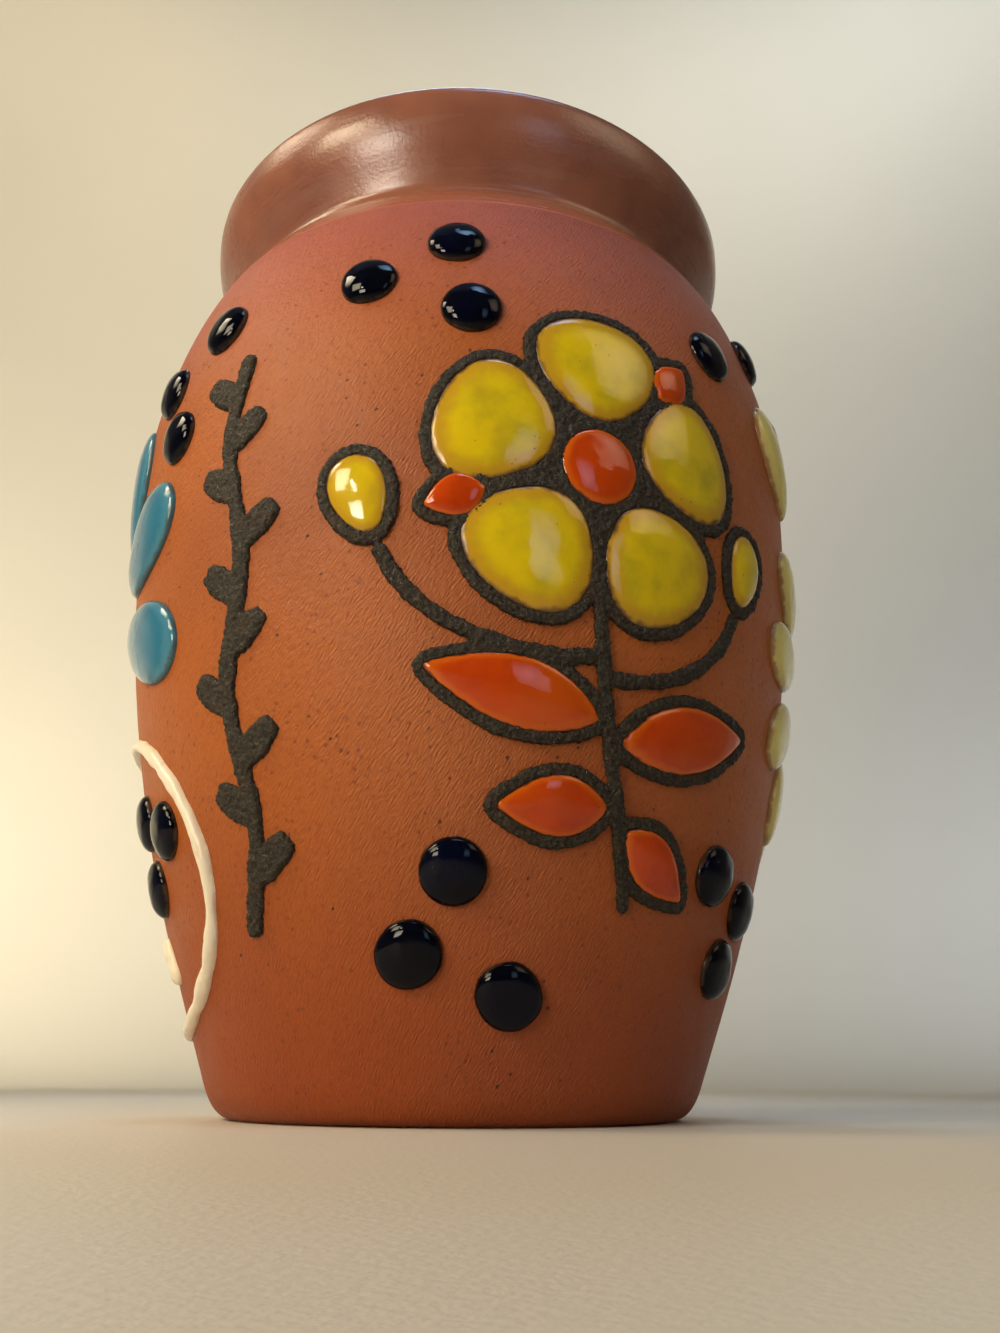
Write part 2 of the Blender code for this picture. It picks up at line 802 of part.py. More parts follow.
def build_spray(patch, group):
    """The main picture: a blossom, leaves and two buds. Gives its reach to either side."""
    petals, heart = blossom(SPRAY_BLOOM)
    stem = [Vector(point) for point in SPRAY_STEM]
    strokes = [ribbon(curve_points(stem, STEM_POINTS), STEM_WIDTH)]
    leaves = [stem_leaf(stem, *measures, STAND_OFF) for measures in SPRAY_LEAVES]
    for turn in SEPAL_TURNS:
        foot = Vector(SPRAY_BLOOM) + way(turn, petal_foot() + SEPAL_SHARE * PETAL_LENGTH)
        sepal = leaf(SEPAL_LENGTH, SEPAL_WIDTH, LEAF_POINTS)
        leaves.append(turned_and_moved(sepal, turn, foot))
    buds = []
    for share, onwards in SPRAY_BRANCHES:
        branch = [curve_point(stem, share)] + [Vector(point) for point in onwards]
        strokes.append(ribbon(curve_points(branch, BRANCH_POINTS), STEM_WIDTH))
        end = branch[-1] - branch[-2]
        turn = math.degrees(math.atan2(end.y, end.x))
        bud = egg(BUD_LENGTH, BUD_WIDTH, LEAF_POINTS)
        buds.append(turned_and_moved(bud, turn, branch[-1] + way(turn, STAND_OFF)))
    solids, hollows = outlined(petals + [heart] + leaves + buds)
    solids += strokes
    build_lines("spray_outline", solids, hollows, patch, SPRAY_BLOOM, "black_slip", group)
    build_pool("spray_heart", heart, POOL_EDGE, POOL_CROWN, patch, "orange", group)
    for kind, shapes, finish in (
        ("spray_petal", petals, "yellow"),
        ("spray_leaf", leaves, "orange"),
        ("spray_bud", buds, "yellow"),
    ):
        for number, shape in enumerate(shapes, 1):
            name = f"{kind}_{number}"
            build_pool(name, shape, POOL_EDGE, POOL_CROWN, patch, finish, group)
    return edge(solids, -1), edge(solids, 1)


def off_petals(measures):
    """A step from the blossom's middle in a direction, to so far off its petals' line."""
    turn, off = measures
    return way(turn, petal_foot() + PETAL_LENGTH + GAP + LINE_WIDTH + off)


def fan_dots():
    """The step from the fan's middle to the middle of its dots."""
    turn, off = TOP_LEFT_DOTS
    return way(turn, FAN_INNER + FAN_LOBE_LENGTH + off)


def build_vine(spray, reach, group):
    """The black vine beside the main picture, with leaves on either side in turn.

    Gives its patch and its reach to the left.
    """
    nearest_dot = FAN_RISE + fan_dots().y + DOT_SPOTS["top_left"][0][1]
    length = nearest_dot - DOT_WIDTH / 2 - VINE_TO_DOTS - VINE_FOOT

    def sway(y):
        return Vector((VINE_SWAY * math.sin(2 * math.pi * y / VINE_WAVE), y))

    stations = 2 * VINE_LEAVES + 3
    step = length / (stations - 1)
    line = [sway(-length / 2 + step * i) for i in range(stations)]
    solids = [ribbon(line, VINE_STEM_WIDTH)]
    for i in range(VINE_LEAVES):
        foot = line[2 * i + 2]
        side = 1 if i % 2 else -1
        shape = leaf(VINE_LEAF_LENGTH, VINE_LEAF_WIDTH, VINE_LEAF_POINTS)
        solids.append(turned_and_moved(shape, 90 + side * VINE_LEAF_SPREAD, foot))
    across = reach + VINE_TO_SPRAY + edge(solids, 1)
    patch = spray.beside(-across, VINE_FOOT + length / 2)
    build_lines("vine_ornament", solids, [], patch, (0, 0), "black_slip", group)
    return patch, edge(solids, -1)


def dots(place):
    """The outlines of a group of dots."""
    shape = disc(DOT_WIDTH, DOT_POINTS)
    return [turned_and_moved(shape, 0, spot) for spot in DOT_SPOTS[place]]


def build_dots(place, patch, group):
    """Three round cobalt dots."""
    for number, outline in enumerate(dots(place), 1):
        name = f"dot_{place}_{number}"
        build_pool(name, outline, DOT_EDGE, DOT_CROWN, patch, "cobalt", group)


def lobes(length, width, inner, turns):
    """Outlines of lobes that point away from a middle in these directions."""
    shape = turned_and_moved(egg(length, width, PETAL_POINTS), 0, (inner, 0))
    return [turned_and_moved(shape, turn, (0, 0)) for turn in turns]


def build_fan(vine, reach, group):
    """Blue-green lobes spread like a fan, left of the vine. Gives their patch."""
    turns = [FAN_START + FAN_STEP * i for i in range(FAN_LOBES)]
    outlines = lobes(FAN_LOBE_LENGTH, FAN_LOBE_WIDTH, FAN_INNER, turns)
    patch = vine.beside(-(reach + FAN_TO_VINE + edge(outlines, 1)), FAN_RISE)
    for number, outline in enumerate(outlines, 1):
        name = f"blue_lobe_{number}"
        build_pool(name, outline, POOL_EDGE, LOBE_CROWN, patch, "blue_green", group)
    return patch


def build_frond(spray, reach, group):
    """Pale yellow lobes spread like a fan, right of the main picture, and one farther out."""
    turns = [FROND_START + FROND_STEP * i for i in range(FROND_LOBES)]
    outlines = lobes(FROND_LOBE_LENGTH, FROND_LOBE_WIDTH, FROND_INNER, turns)
    patch = spray.beside(reach + FROND_TO_SPRAY + edge(outlines, -1), FROND_RISE)
    outer = (FROND_LOBE_LENGTH, FROND_LOBE_WIDTH, FROND_OUTER_INNER, [FROND_OUTER_TURN])
    for number, outline in enumerate(outlines + lobes(*outer), 1):
        name = f"yellow_lobe_{number}"
        build_pool(name, outline, POOL_EDGE, LOBE_CROWN, patch, "pale_yellow", group)


def build_bead(name, line, closed, patch, group):
    """A raised half-round line: a bevelled curve, flattened below and wrapped on."""
    data = bpy.data.curves.new(name, "CURVE")
    data.dimensions = "3D"
    data.bevel_depth = WHITE_WIDTH / 2
    data.bevel_resolution = 1
    data.use_fill_caps = not closed
    spline = data.splines.new("POLY")
    spline.points.add(len(line) - 1)
    for point, flat in zip(spline.points, line):
        point.co = (flat.x, flat.y, 0, 1)
    spline.use_cyclic_u = closed
    guide = bpy.data.objects.new(name + "_guide", data)
    bpy.context.scene.collection.objects.link(guide)
    bpy.context.view_layer.update()
    evaluated = guide.evaluated_get(bpy.context.evaluated_depsgraph_get())
    mesh = bpy.data.meshes.new_from_object(evaluated)
    bm = bmesh.new()
    bm.from_mesh(mesh)
    bpy.data.meshes.remove(mesh)
    bpy.data.curves.remove(data, do_unlink=True)
    bmesh.ops.remove_doubles(bm, verts=bm.verts[:], dist=WELD)
    for vert in bm.verts:
        vert.co.z = max(vert.co.z, 0) / (WHITE_WIDTH / 2) * WHITE_HEIGHT
    return settle(bm, name, patch, line[0], "white", group)


def build_loop(vine, reach, group):
    """The white line: an oval loop, and a short stroke inside it. Gives its patch."""
    across = reach + LOOP_TO_VINE + WHITE_WIDTH / 2 + LOOP_HALF_WIDTH
    patch = vine.beside(-across, LOOP_RISE)
    line = [
        Vector((p.x * LOOP_HALF_WIDTH, p.y * LOOP_HALF_HEIGHT)) for p in disc(2, LOOP_POINTS)
    ]
    build_bead("white_loop", line, True, patch, group)
    build_bead("white_stroke", [Vector(p) for p in STROKE], False, patch, group)
    return patch


def build_back(patch, group):
    """The blossom on the back, in the other colours, on a short stem with two leaves."""
    petals, heart = blossom(BACK_BLOOM)
    solids, hollows = outlined(petals + [heart])
    stem = [Vector(point) for point in BACK_STEM]
    solids.append(ribbon(curve_points(stem, STEM_POINTS), STEM_WIDTH))
    for share, turn, length in BACK_LEAVES:
        solids.append(stem_leaf(stem, share, turn, length, BACK_LEAF_WIDTH, 0))
    build_lines("back_outline", solids, hollows, patch, BACK_BLOOM, "black_slip", group)
    build_pool("back_heart", heart, POOL_EDGE, POOL_CROWN, patch, "yellow", group)
    for number, shape in enumerate(petals, 1):
        name = f"back_petal_{number}"
        build_pool(name, shape, POOL_EDGE, POOL_CROWN, patch, "orange", group)


def main():
    """Builds the vase."""
    clear_scene()
    group = collection("terracotta_vase")
    build_clay(group)
    build_coat(group)
    wall = Wall()
    spray = Patch(wall, math.radians(FRONT_BEARING), SPRAY_RISE)
    left, right = build_spray(spray, group)
    build_frond(spray, right, group)
    vine, reach = build_vine(spray, left, group)
    fan = build_fan(vine, reach, group)
    loop = build_loop(vine, reach, group)
    back = Patch(wall, math.radians(BACK_BEARING), BACK_RISE)
    build_back(back, group)
    bloom, stem_end = Vector(SPRAY_BLOOM), Vector(SPRAY_STEM[-1])
    build_dots("top", spray.near(bloom + off_petals(TOP_DOTS)), group)
    build_dots("top_left", fan.near(fan_dots()), group)
    build_dots("top_right", spray.near(bloom + off_petals(TOP_RIGHT_DOTS)), group)
    build_dots("foot", spray.near(stem_end + Vector(FOOT_DOTS)), group)
    build_dots("foot_right", spray.near(stem_end + Vector(FOOT_RIGHT_DOTS)), group)
    build_dots("foot_left", loop.near(FOOT_LEFT_DOTS), group)
    build_dots("back", back.near(BACK_DOTS), group)


main()
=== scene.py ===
"""Looks of a terracotta vase with a glazed collar and raised glaze decoration.

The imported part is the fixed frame. A finer piece of the same form stands for each of its
nodes: the clay and the coat are spun from their outlines, black slip and the white line
are trailed beads, and each pool of glaze is a smooth dome, drawn flat and wrapped onto
the wall. Lengths are in metres.
"""

import logging
import math
from bisect import bisect_right
from contextlib import contextmanager
from dataclasses import dataclass, field
from enum import Enum
from itertools import accumulate
from typing import Any, Iterator, Optional, Sequence, Union

import bpy
from mathutils import Matrix, Vector, noise


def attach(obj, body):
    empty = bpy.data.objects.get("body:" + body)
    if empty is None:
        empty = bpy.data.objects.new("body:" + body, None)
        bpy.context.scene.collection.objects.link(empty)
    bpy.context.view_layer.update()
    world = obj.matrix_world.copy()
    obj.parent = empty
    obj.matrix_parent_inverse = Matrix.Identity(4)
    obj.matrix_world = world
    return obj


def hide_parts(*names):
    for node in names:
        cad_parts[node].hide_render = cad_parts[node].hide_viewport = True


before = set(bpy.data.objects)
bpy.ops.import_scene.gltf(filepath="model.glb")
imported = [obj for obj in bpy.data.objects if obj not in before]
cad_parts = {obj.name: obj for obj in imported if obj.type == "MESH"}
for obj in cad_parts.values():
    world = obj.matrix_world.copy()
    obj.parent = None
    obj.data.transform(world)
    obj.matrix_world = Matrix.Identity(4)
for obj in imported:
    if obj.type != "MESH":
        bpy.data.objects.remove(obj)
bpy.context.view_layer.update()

LOG = logging.getLogger("vase")
GLAZE_BORDER = 0.2015
LINE = 0.0028
GAP = 0.0003
RIM = "rim"
Colour = tuple[float, float, float]
Flat = Sequence[Vector]
Steps = tuple[int, int, int]
Value = Union[float, Sequence[float], "Socket"]


class Slot(Enum):
    """The record's material slots."""

    CLAY = "clay"
    COLLAR = "collar"
    BLACK_SLIP = "black_slip"
    YELLOW = "yellow"
    ORANGE = "orange"
    COBALT = "cobalt"
    BLUE_GREEN = "blue_green"
    PALE_YELLOW = "pale_yellow"
    WHITE = "white"


class Socket:
    """One output of a shader node. Expressions on it add the nodes that work them out."""

    def __init__(self, tree: "Tree", output: bpy.types.NodeSocket) -> None:
        """Keeps the tree and the output."""
        self.tree = tree
        self.output = output

    def _math(self, operation: str, *values: Value) -> "Socket":
        """Adds one Math node on numbers."""
        inputs = dict(enumerate(values))
        return self.tree.node("ShaderNodeMath", {"operation": operation}, inputs)

    def __add__(self, other: Value) -> "Socket":
        """Sum."""
        return self._math("ADD", self, other)

    __radd__ = __add__

    def __sub__(self, other: Value) -> "Socket":
        """Difference."""
        return self._math("SUBTRACT", self, other)

    def __rsub__(self, other: Value) -> "Socket":
        """Difference from a number."""
        return self._math("SUBTRACT", other, self)

    def __mul__(self, other: Value) -> "Socket":
        """Product."""
        return self._math("MULTIPLY", self, other)

    __rmul__ = __mul__

    def step(self, low: float, high: float) -> "Socket":
        """A smooth rise from 0 at one value to 1 at the other.

        Args:
            low: The value that gives 0.
            high: The value that gives 1; it may be the lower one.

        Returns:
            The smooth step.
        """
        settings = {"interpolation_type": "SMOOTHSTEP", "clamp": True}
        fall = high < low
        inputs = {
            "Value": self,
            "From Min": min(low, high),
            "From Max": max(low, high),
            "To Min": 1.0 if fall else 0.0,
            "To Max": 0.0 if fall else 1.0,
        }
        return self.tree.node("ShaderNodeMapRange", settings, inputs)


class Tree:
    """A material's nodes."""

    def __init__(self, name: str) -> None:
        """Makes the material and clears its nodes."""
        self.material = bpy.data.materials.new(name)
        self.material.use_nodes = True
        self.nodes = self.material.node_tree.nodes
        self.links = self.material.node_tree.links
        self.nodes.clear()
        self.place = self.node("ShaderNodeTexCoord", {}, {}, "Object")

    def node(
        self,
        kind: str,
        settings: dict[str, Any],
        inputs: dict[Union[str, int], Value],
        output: Union[str, int, None] = 0,
    ) -> Optional[Socket]:
        """Adds any node.

        Args:
            kind: The node's type.
            settings: Its own settings, set first.
            inputs: Its sockets' values or links.
            output: The output that is given back, or None for a node without one.

        Returns:
            That output.
        """
        made = self.nodes.new(kind)
        for key, value in settings.items():
            setattr(made, key, value)
        for key, value in inputs.items():
            self.feed(made.inputs[key], value)
        return None if output is None else Socket(self, made.outputs[output])

    def feed(self, socket: bpy.types.NodeSocket, value: Value) -> None:
        """Links or sets one input.

        Args:
            socket: The input.
            value: A socket, a number, or a colour or vector.
        """
        if isinstance(value, Socket):
            self.links.new(value.output, socket)
        elif isinstance(value, (int, float)):
            socket.default_value = value
        elif len(value) == 3 and len(socket.default_value) == 4:
            socket.default_value = (*value, 1.0)
        else:
            socket.default_value = value

    def axis(self, name: str) -> Socket:
        """One of the piece's own coordinates, in metres."""
        return self.node("ShaderNodeSeparateXYZ", {}, {0: self.place}, name)

    def height(self) -> Socket:
        """Height above the base."""
        return self.axis("Z")

    def attribute(self, name: str) -> Socket:
        """A number kept on the mesh."""
        return self.node("ShaderNodeAttribute", {"attribute_name": name}, {}, "Fac")

    def noise(
        self, scale: float, detail: float, rough: float = 0.5, place: Optional[Socket] = None
    ) -> Socket:
        """Soft noise on the piece's own coordinates.

        Args:
            scale: Lumps in a metre.
            detail: How many finer layers lie on it.
            rough: How strong those are.
            place: Other coordinates worked out from those.

        Returns:
            A value round a half.
        """
        vector = self.place if place is None else place
        inputs = {"Vector": vector, "Scale": scale, "Detail": detail, "Roughness": rough}
        return self.node("ShaderNodeTexNoise", {}, inputs, "Fac")

    def brushed(self, radius: float, lean: float, stretch: float) -> Socket:
        """Coordinates on a turned wall that draw noise out along a slant.

        Args:
            radius: The wall's radius.
            lean: The slant, in degrees from level.
            stretch: How many times longer than wide the noise becomes.

        Returns:
            The coordinates.
        """
        right, front = self.axis("X"), self.axis("Y") * -1.0
        around = self.node("ShaderNodeMath", {"operation": "ARCTAN2"}, {0: right, 1: front})
        across, up = around * radius, self.height()
        cos, sin = math.cos(math.radians(lean)), math.sin(math.radians(lean))
        parts = {"X": (across * cos + up * sin) * (1 / stretch), "Y": up * cos - across * sin}
        return self.node("ShaderNodeCombineXYZ", {}, parts)

    def specks(
        self, scale: float, size: Sequence[float], gather: float, amount: Sequence[float]
    ) -> Socket:
        """Round specks that gather in places.

        Args:
            scale: Cells in a metre, with a speck in the middle of each.
            size: The outer and the inner edge of a speck, in cells.
            gather: Places where they gather, in a metre.
            amount: The noise at which they start to show, and show fully.

        Returns:
            1 on a speck and 0 beside it.
        """
        inputs = {"Vector": self.place, "Scale": scale}
        cells = self.node("ShaderNodeTexVoronoi", {}, inputs, "Distance")
        return cells.step(*size) * self.noise(gather, 1).step(*amount)

    def layered(self, ground: Value, *coats: tuple[Value, Colour]) -> Value:
        """Lays colours over a ground.

        Args:
            ground: The colour below all.
            coats: Each further colour, after the share of it that shows.

        Returns:
            The colour with all coats on it.
        """
        for share, colour in coats:
            inputs = {0: share, 6: ground, 7: colour}
            ground = self.node("ShaderNodeMix", {"data_type": "RGBA"}, inputs, 2)
        return ground

    def relief(self, *layers: tuple[Value, float]) -> Socket:
        """Lays bumps over each other.

        Args:
            layers: Each bump's height from 0 to 1, and its depth in metres.

        Returns:
            The normal.
        """
        below: dict[Union[str, int], Value] = {}
        for height, depth in layers:
            inputs = {"Height": height, "Distance": depth, **below}
            below = {"Normal": self.node("ShaderNodeBump", {}, inputs)}
        return below["Normal"]

    def finish(
        self, colour: Value, rough: Value, normal: Socket, shine: float = 0.5
    ) -> bpy.types.Material:
        """Adds the Principled shader and the output.

        Args:
            colour: The base colour.
            rough: The roughness.
            normal: The normal.
            shine: The strength of mirrored light, the same all over.

        Returns:
            The material.
        """
        sockets = {"Base Color": colour, "Roughness": rough, "Normal": normal}
        sockets["Specular IOR Level"] = shine
        shader = self.node("ShaderNodeBsdfPrincipled", {}, sockets)
        self.node("ShaderNodeOutputMaterial", {}, {"Surface": shader}, None)
        return self.material


@dataclass(frozen=True)
class Clay:
    """Bare fired terracotta: warm mottling, a painted pink sky sheen near the top, painted shade
    at the foot, dark specks, a pebbly skin and fine pits.
    """

    orange: Colour = (0.405, 0.103, 0.014)
    # painted reflection: a pink tint stands in for the sky's sheen on the upper shoulder
    sky_sheen_pink: Colour = (0.385, 0.094, 0.074)
    brown: Colour = (0.200, 0.040, 0.010)
    # painted shade: a darker, more saturated foot stands in for the shade on the lower wall
    foot: Colour = (0.300, 0.055, 0.006)
    speck: Colour = (0.050, 0.014, 0.008)
    sky_sheen_rise: tuple[float, float] = (0.145, 0.203)
    foot_shade_rise: tuple[float, float] = (0.075, 0.0)
    wall_radius: float = 0.08
    brush_lean: float = 55
    brush_stretch: float = 4.0
    grain_depth: float = 0.00042
    pebble_depth: float = 0.00011
    pit_depth: float = 0.00025

    def build(self) -> bpy.types.Material:
        """Makes the material.

        Returns:
            The material.
        """
        tree = Tree("clay")
        freckles = tree.specks(430, (0.26, 0.10), 110, (0.44, 0.58))
        specks = tree.specks(300, (0.13, 0.07), 45, (0.54, 0.62))
        colour = tree.layered(
            self.orange,
            # painted sheen: pink rises with height towards the shoulder
            (tree.height().step(*self.sky_sheen_rise) * 0.8, self.sky_sheen_pink),
            # painted shade: darker towards the base
            (tree.height().step(*self.foot_shade_rise), self.foot),
            (tree.noise(16, 3).step(0.42, 0.75) * 0.42, self.brown),
            (tree.noise(900, 2).step(0.45, 0.75) * 0.35, self.brown),
            (freckles * 0.85, self.brown),
            (specks * 0.8, self.speck),
        )
        slant = tree.brushed(self.wall_radius, self.brush_lean, self.brush_stretch)
        normal = tree.relief(
            (tree.noise(2400, 2, 0.6, slant), self.grain_depth),
            (tree.noise(1400, 2), self.pebble_depth),
            (1.0 - specks, self.pit_depth),
        )
        return tree.finish(colour, 0.39 + 0.22 * tree.noise(150, 2), normal, 0.36)


@dataclass(frozen=True)
class CollarGlaze:
    """Clear brown satin glaze over clay, thinner and redder towards its soft border."""

    body: Colour = (0.290, 0.108, 0.064)
    thick: Colour = (0.200, 0.072, 0.048)
    thin: Colour = (0.340, 0.092, 0.038)
    clay: Colour = (0.430, 0.095, 0.040)
    smoke: Colour = (0.270, 0.130, 0.098)
    thin_rise: tuple[float, float] = (0.2115, 0.2050)
    fade: tuple[float, float] = (GLAZE_BORDER + 0.0012, GLAZE_BORDER + 0.0001)
    waver: float = 0.0010
    collar_radius: float = 0.072
    skin_depth: float = 0.00010
    turned_depth: float = 0.00007
    fine_depth: float = 0.00005

    def build(self) -> bpy.types.Material:
        """Makes the material.

        Returns:
            The material.
        """
        tree = Tree("collar_glaze")
        height = tree.height() + self.waver * (tree.noise(140, 3) - 0.5)
        bare = height.step(*self.fade)
        wiped = tree.noise(130, 4, 0.6, tree.brushed(self.collar_radius, 4, 9))
        specks = tree.specks(240, (0.13, 0.07), 40, (0.60, 0.66))
        colour = tree.layered(
            self.body,
            (tree.noise(38, 4).step(0.35, 0.72), self.thick),
            (height.step(*self.thin_rise) * 0.8, self.thin),
            (bare, self.clay),
            (wiped.step(0.50, 0.68) * 0.45, self.smoke),
            (specks * 0.7, self.thick),
        )
        turned = tree.noise(420, 2, place=tree.brushed(self.collar_radius, 2, 14))
        normal = tree.relief(
            (tree.noise(150, 2), self.skin_depth),
            (turned, self.turned_depth),
            (tree.noise(1100, 2), self.fine_depth),
        )
        return tree.finish(colour, 0.22 + 0.10 * wiped.step(0.35, 0.70) + 0.25 * bare, normal)


@dataclass(frozen=True)
class PoolGlaze:
    """Thick gloss glaze: deeper in patches, stained by the clay round its rim."""

    name: str
    middle: Colour
    deep: Colour
    thin: Colour
    rim: Colour
    rim_width: float = 0.10
    mottle: float = 0.6
    gloss: float = 0.08
    shine: float = 0.5
    depth: float = 0.00012

    def build(self) -> bpy.types.Material:
        """Makes the material.

        Returns:
            The material.
        """
        tree = Tree(self.name)
        ragged = tree.attribute(RIM) + 0.16 * (tree.noise(420, 3) - 0.5)
        stain = ragged.step(self.rim_width, 0.0)
        pocks = tree.specks(420, (0.10, 0.05), 90, (0.58, 0.64))
        colour = tree.layered(
            self.middle,
            (tree.noise(85, 4, 0.6).step(0.42, 0.72) * self.mottle, self.deep),
            (tree.noise(42, 3).step(0.52, 0.74) * self.mottle, self.thin),
            (ragged.step(self.rim_width * 4, self.rim_width), self.thin),
            (stain, self.rim),
            (pocks * 0.5, self.rim),
        )
        rough = self.gloss + 0.12 * tree.noise(160, 2).step(0.5, 0.8) + 0.25 * stain
        normal = tree.relief((tree.noise(170, 1), self.depth), (1.0 - pocks, self.depth))
        return tree.finish(colour, rough, normal, self.shine)


@dataclass(frozen=True)
class BlackSlip:
    """Matt black slip: grainy, with olive grain tops that are partly its own tone and partly a
    painted highlight, and small wet glints.
    """

    black: Colour = (0.013, 0.009, 0.005)
    # olive grain tops: partly the slip's own olive tone, partly a painted highlight of lit grain
    olive_and_highlight: Colour = (0.048, 0.037, 0.018)
    brown: Colour = (0.050, 0.022, 0.009)
    grit_depth: float = 0.00055
    lump_depth: float = 0.00035

    def build(self) -> bpy.types.Material:
        """Makes the material.

        Returns:
            The material.
        """
        tree = Tree("black_slip")
        grain = tree.noise(1400, 3, 0.7)
        colour = tree.layered(
            self.black,
            # painted highlight: olive on the grain tops, partly the slip's own tone
            (grain.step(0.44, 0.66), self.olive_and_highlight),
            (tree.noise(260, 3).step(0.54, 0.72) * 0.5, self.brown),
        )
        rough = 0.66 - 0.52 * tree.noise(1000, 2).step(0.55, 0.62)
        lumps = (tree.noise(600, 2), self.lump_depth)
        return tree.finish(colour, rough, tree.relief((grain, self.grit_depth), lumps), 0.40)


@dataclass(frozen=True)
class WhiteSlip:
    """Creamy gloss slip, a little stained where it is thin."""

    cream: Colour = (0.80, 0.72, 0.56)
    stain: Colour = (0.62, 0.42, 0.26)
    skin_depth: float = 0.00014

    def build(self) -> bpy.types.Material:
        """Makes the material.

        Returns:
            The material.
        """
        tree = Tree("white_slip")
        stained = tree.noise(260, 3).step(0.54, 0.8) * 0.5
        colour = tree.layered(self.cream, (stained, self.stain))
        normal = tree.relief((tree.noise(450, 2), self.skin_depth))
        return tree.finish(colour, 0.24 + 0.15 * tree.noise(300, 2), normal)


@dataclass(frozen=True)
class FloorPaint:
    """The floor's and backdrop's paint: pale, with painted warm shade in front and painted dark
    shade behind the camera.
    """

    pale: Colour = (0.62, 0.60, 0.55)
    paler: Colour = (0.66, 0.64, 0.59)
    # painted shade: a warmer, slightly darker floor in front of the vase
    warm: Colour = (0.62, 0.54, 0.42)
    # painted shade: a dark sheet behind the camera stands in for the unlit room in the glazes'
    # reflections
    dim_shade: Colour = (0.13, 0.125, 0.12)
    warm_shade_depth: tuple[float, float] = (1.0, -0.3)
    dim_shade_depth: tuple[float, float] = (-0.42, -1.3)
    skin_depth: float = 0.0001

    def build(self) -> bpy.types.Material:
        """Makes the material.

        Returns:
            The material.
        """
        tree = Tree("pale_surface")
        colour = tree.layered(
            self.pale,
            (tree.noise(2.0, 2), self.paler),
            # painted warm shade towards the front
            (tree.axis("Y").step(*self.warm_shade_depth) * 0.6, self.warm),
            # painted shade: dark behind the camera
            (tree.axis("Y").step(*self.dim_shade_depth) * 0.85, self.dim_shade),
        )
        return tree.finish(colour, 0.55, tree.relief((tree.noise(900, 2), self.skin_depth)))


class Finishes:
    """All finishes, by the record's slots."""

    def __init__(self) -> None:
        """Makes the materials."""
        finishes = {
            Slot.CLAY: Clay(),
            Slot.COLLAR: CollarGlaze(),
            Slot.BLACK_SLIP: BlackSlip(),
            Slot.YELLOW: PoolGlaze(
                "yellow_glaze",
                (0.680, 0.500, 0.006),
                (0.400, 0.330, 0.012),
                (0.500, 0.290, 0.016),
                (0.100, 0.035, 0.012),
                mottle=0.75,
            ),
            Slot.ORANGE: PoolGlaze(
                "orange_glaze",
                (0.500, 0.052, 0.003),
                (0.330, 0.022, 0.002),
                (0.560, 0.100, 0.005),
                (0.120, 0.022, 0.008),
                rim_width=0.06,
                gloss=0.05,
                shine=0.40,
            ),
            Slot.COBALT: PoolGlaze(
                "cobalt_glaze",
                (0.0010, 0.0014, 0.0050),
                (0.0012, 0.0030, 0.0200),
                (0.0012, 0.0014, 0.0040),
                (0.0500, 0.0260, 0.0150),
                rim_width=0.05,
                gloss=0.03,
                shine=0.17,
            ),
            Slot.BLUE_GREEN: PoolGlaze(
                "blue_green_glaze",
                (0.024, 0.160, 0.270),
                (0.008, 0.082, 0.170),
                (0.060, 0.215, 0.310),
                (0.040, 0.090, 0.110),
                rim_width=0.06,
            ),
            Slot.PALE_YELLOW: PoolGlaze(
                "pale_yellow_glaze",
                (0.740, 0.660, 0.200),
                (0.680, 0.560, 0.120),
                (0.660, 0.540, 0.200),
                (0.380, 0.200, 0.060),
                rim_width=0.05,
            ),
            Slot.WHITE: WhiteSlip(),
        }
        self.by_slot = {slot: finish.build() for slot, finish in finishes.items()}

    def dress(self, obj: bpy.types.Object, slot: Slot) -> None:
        """Gives a piece its finish."""
        obj.data.materials.clear()
        obj.data.materials.append(self.by_slot[slot])


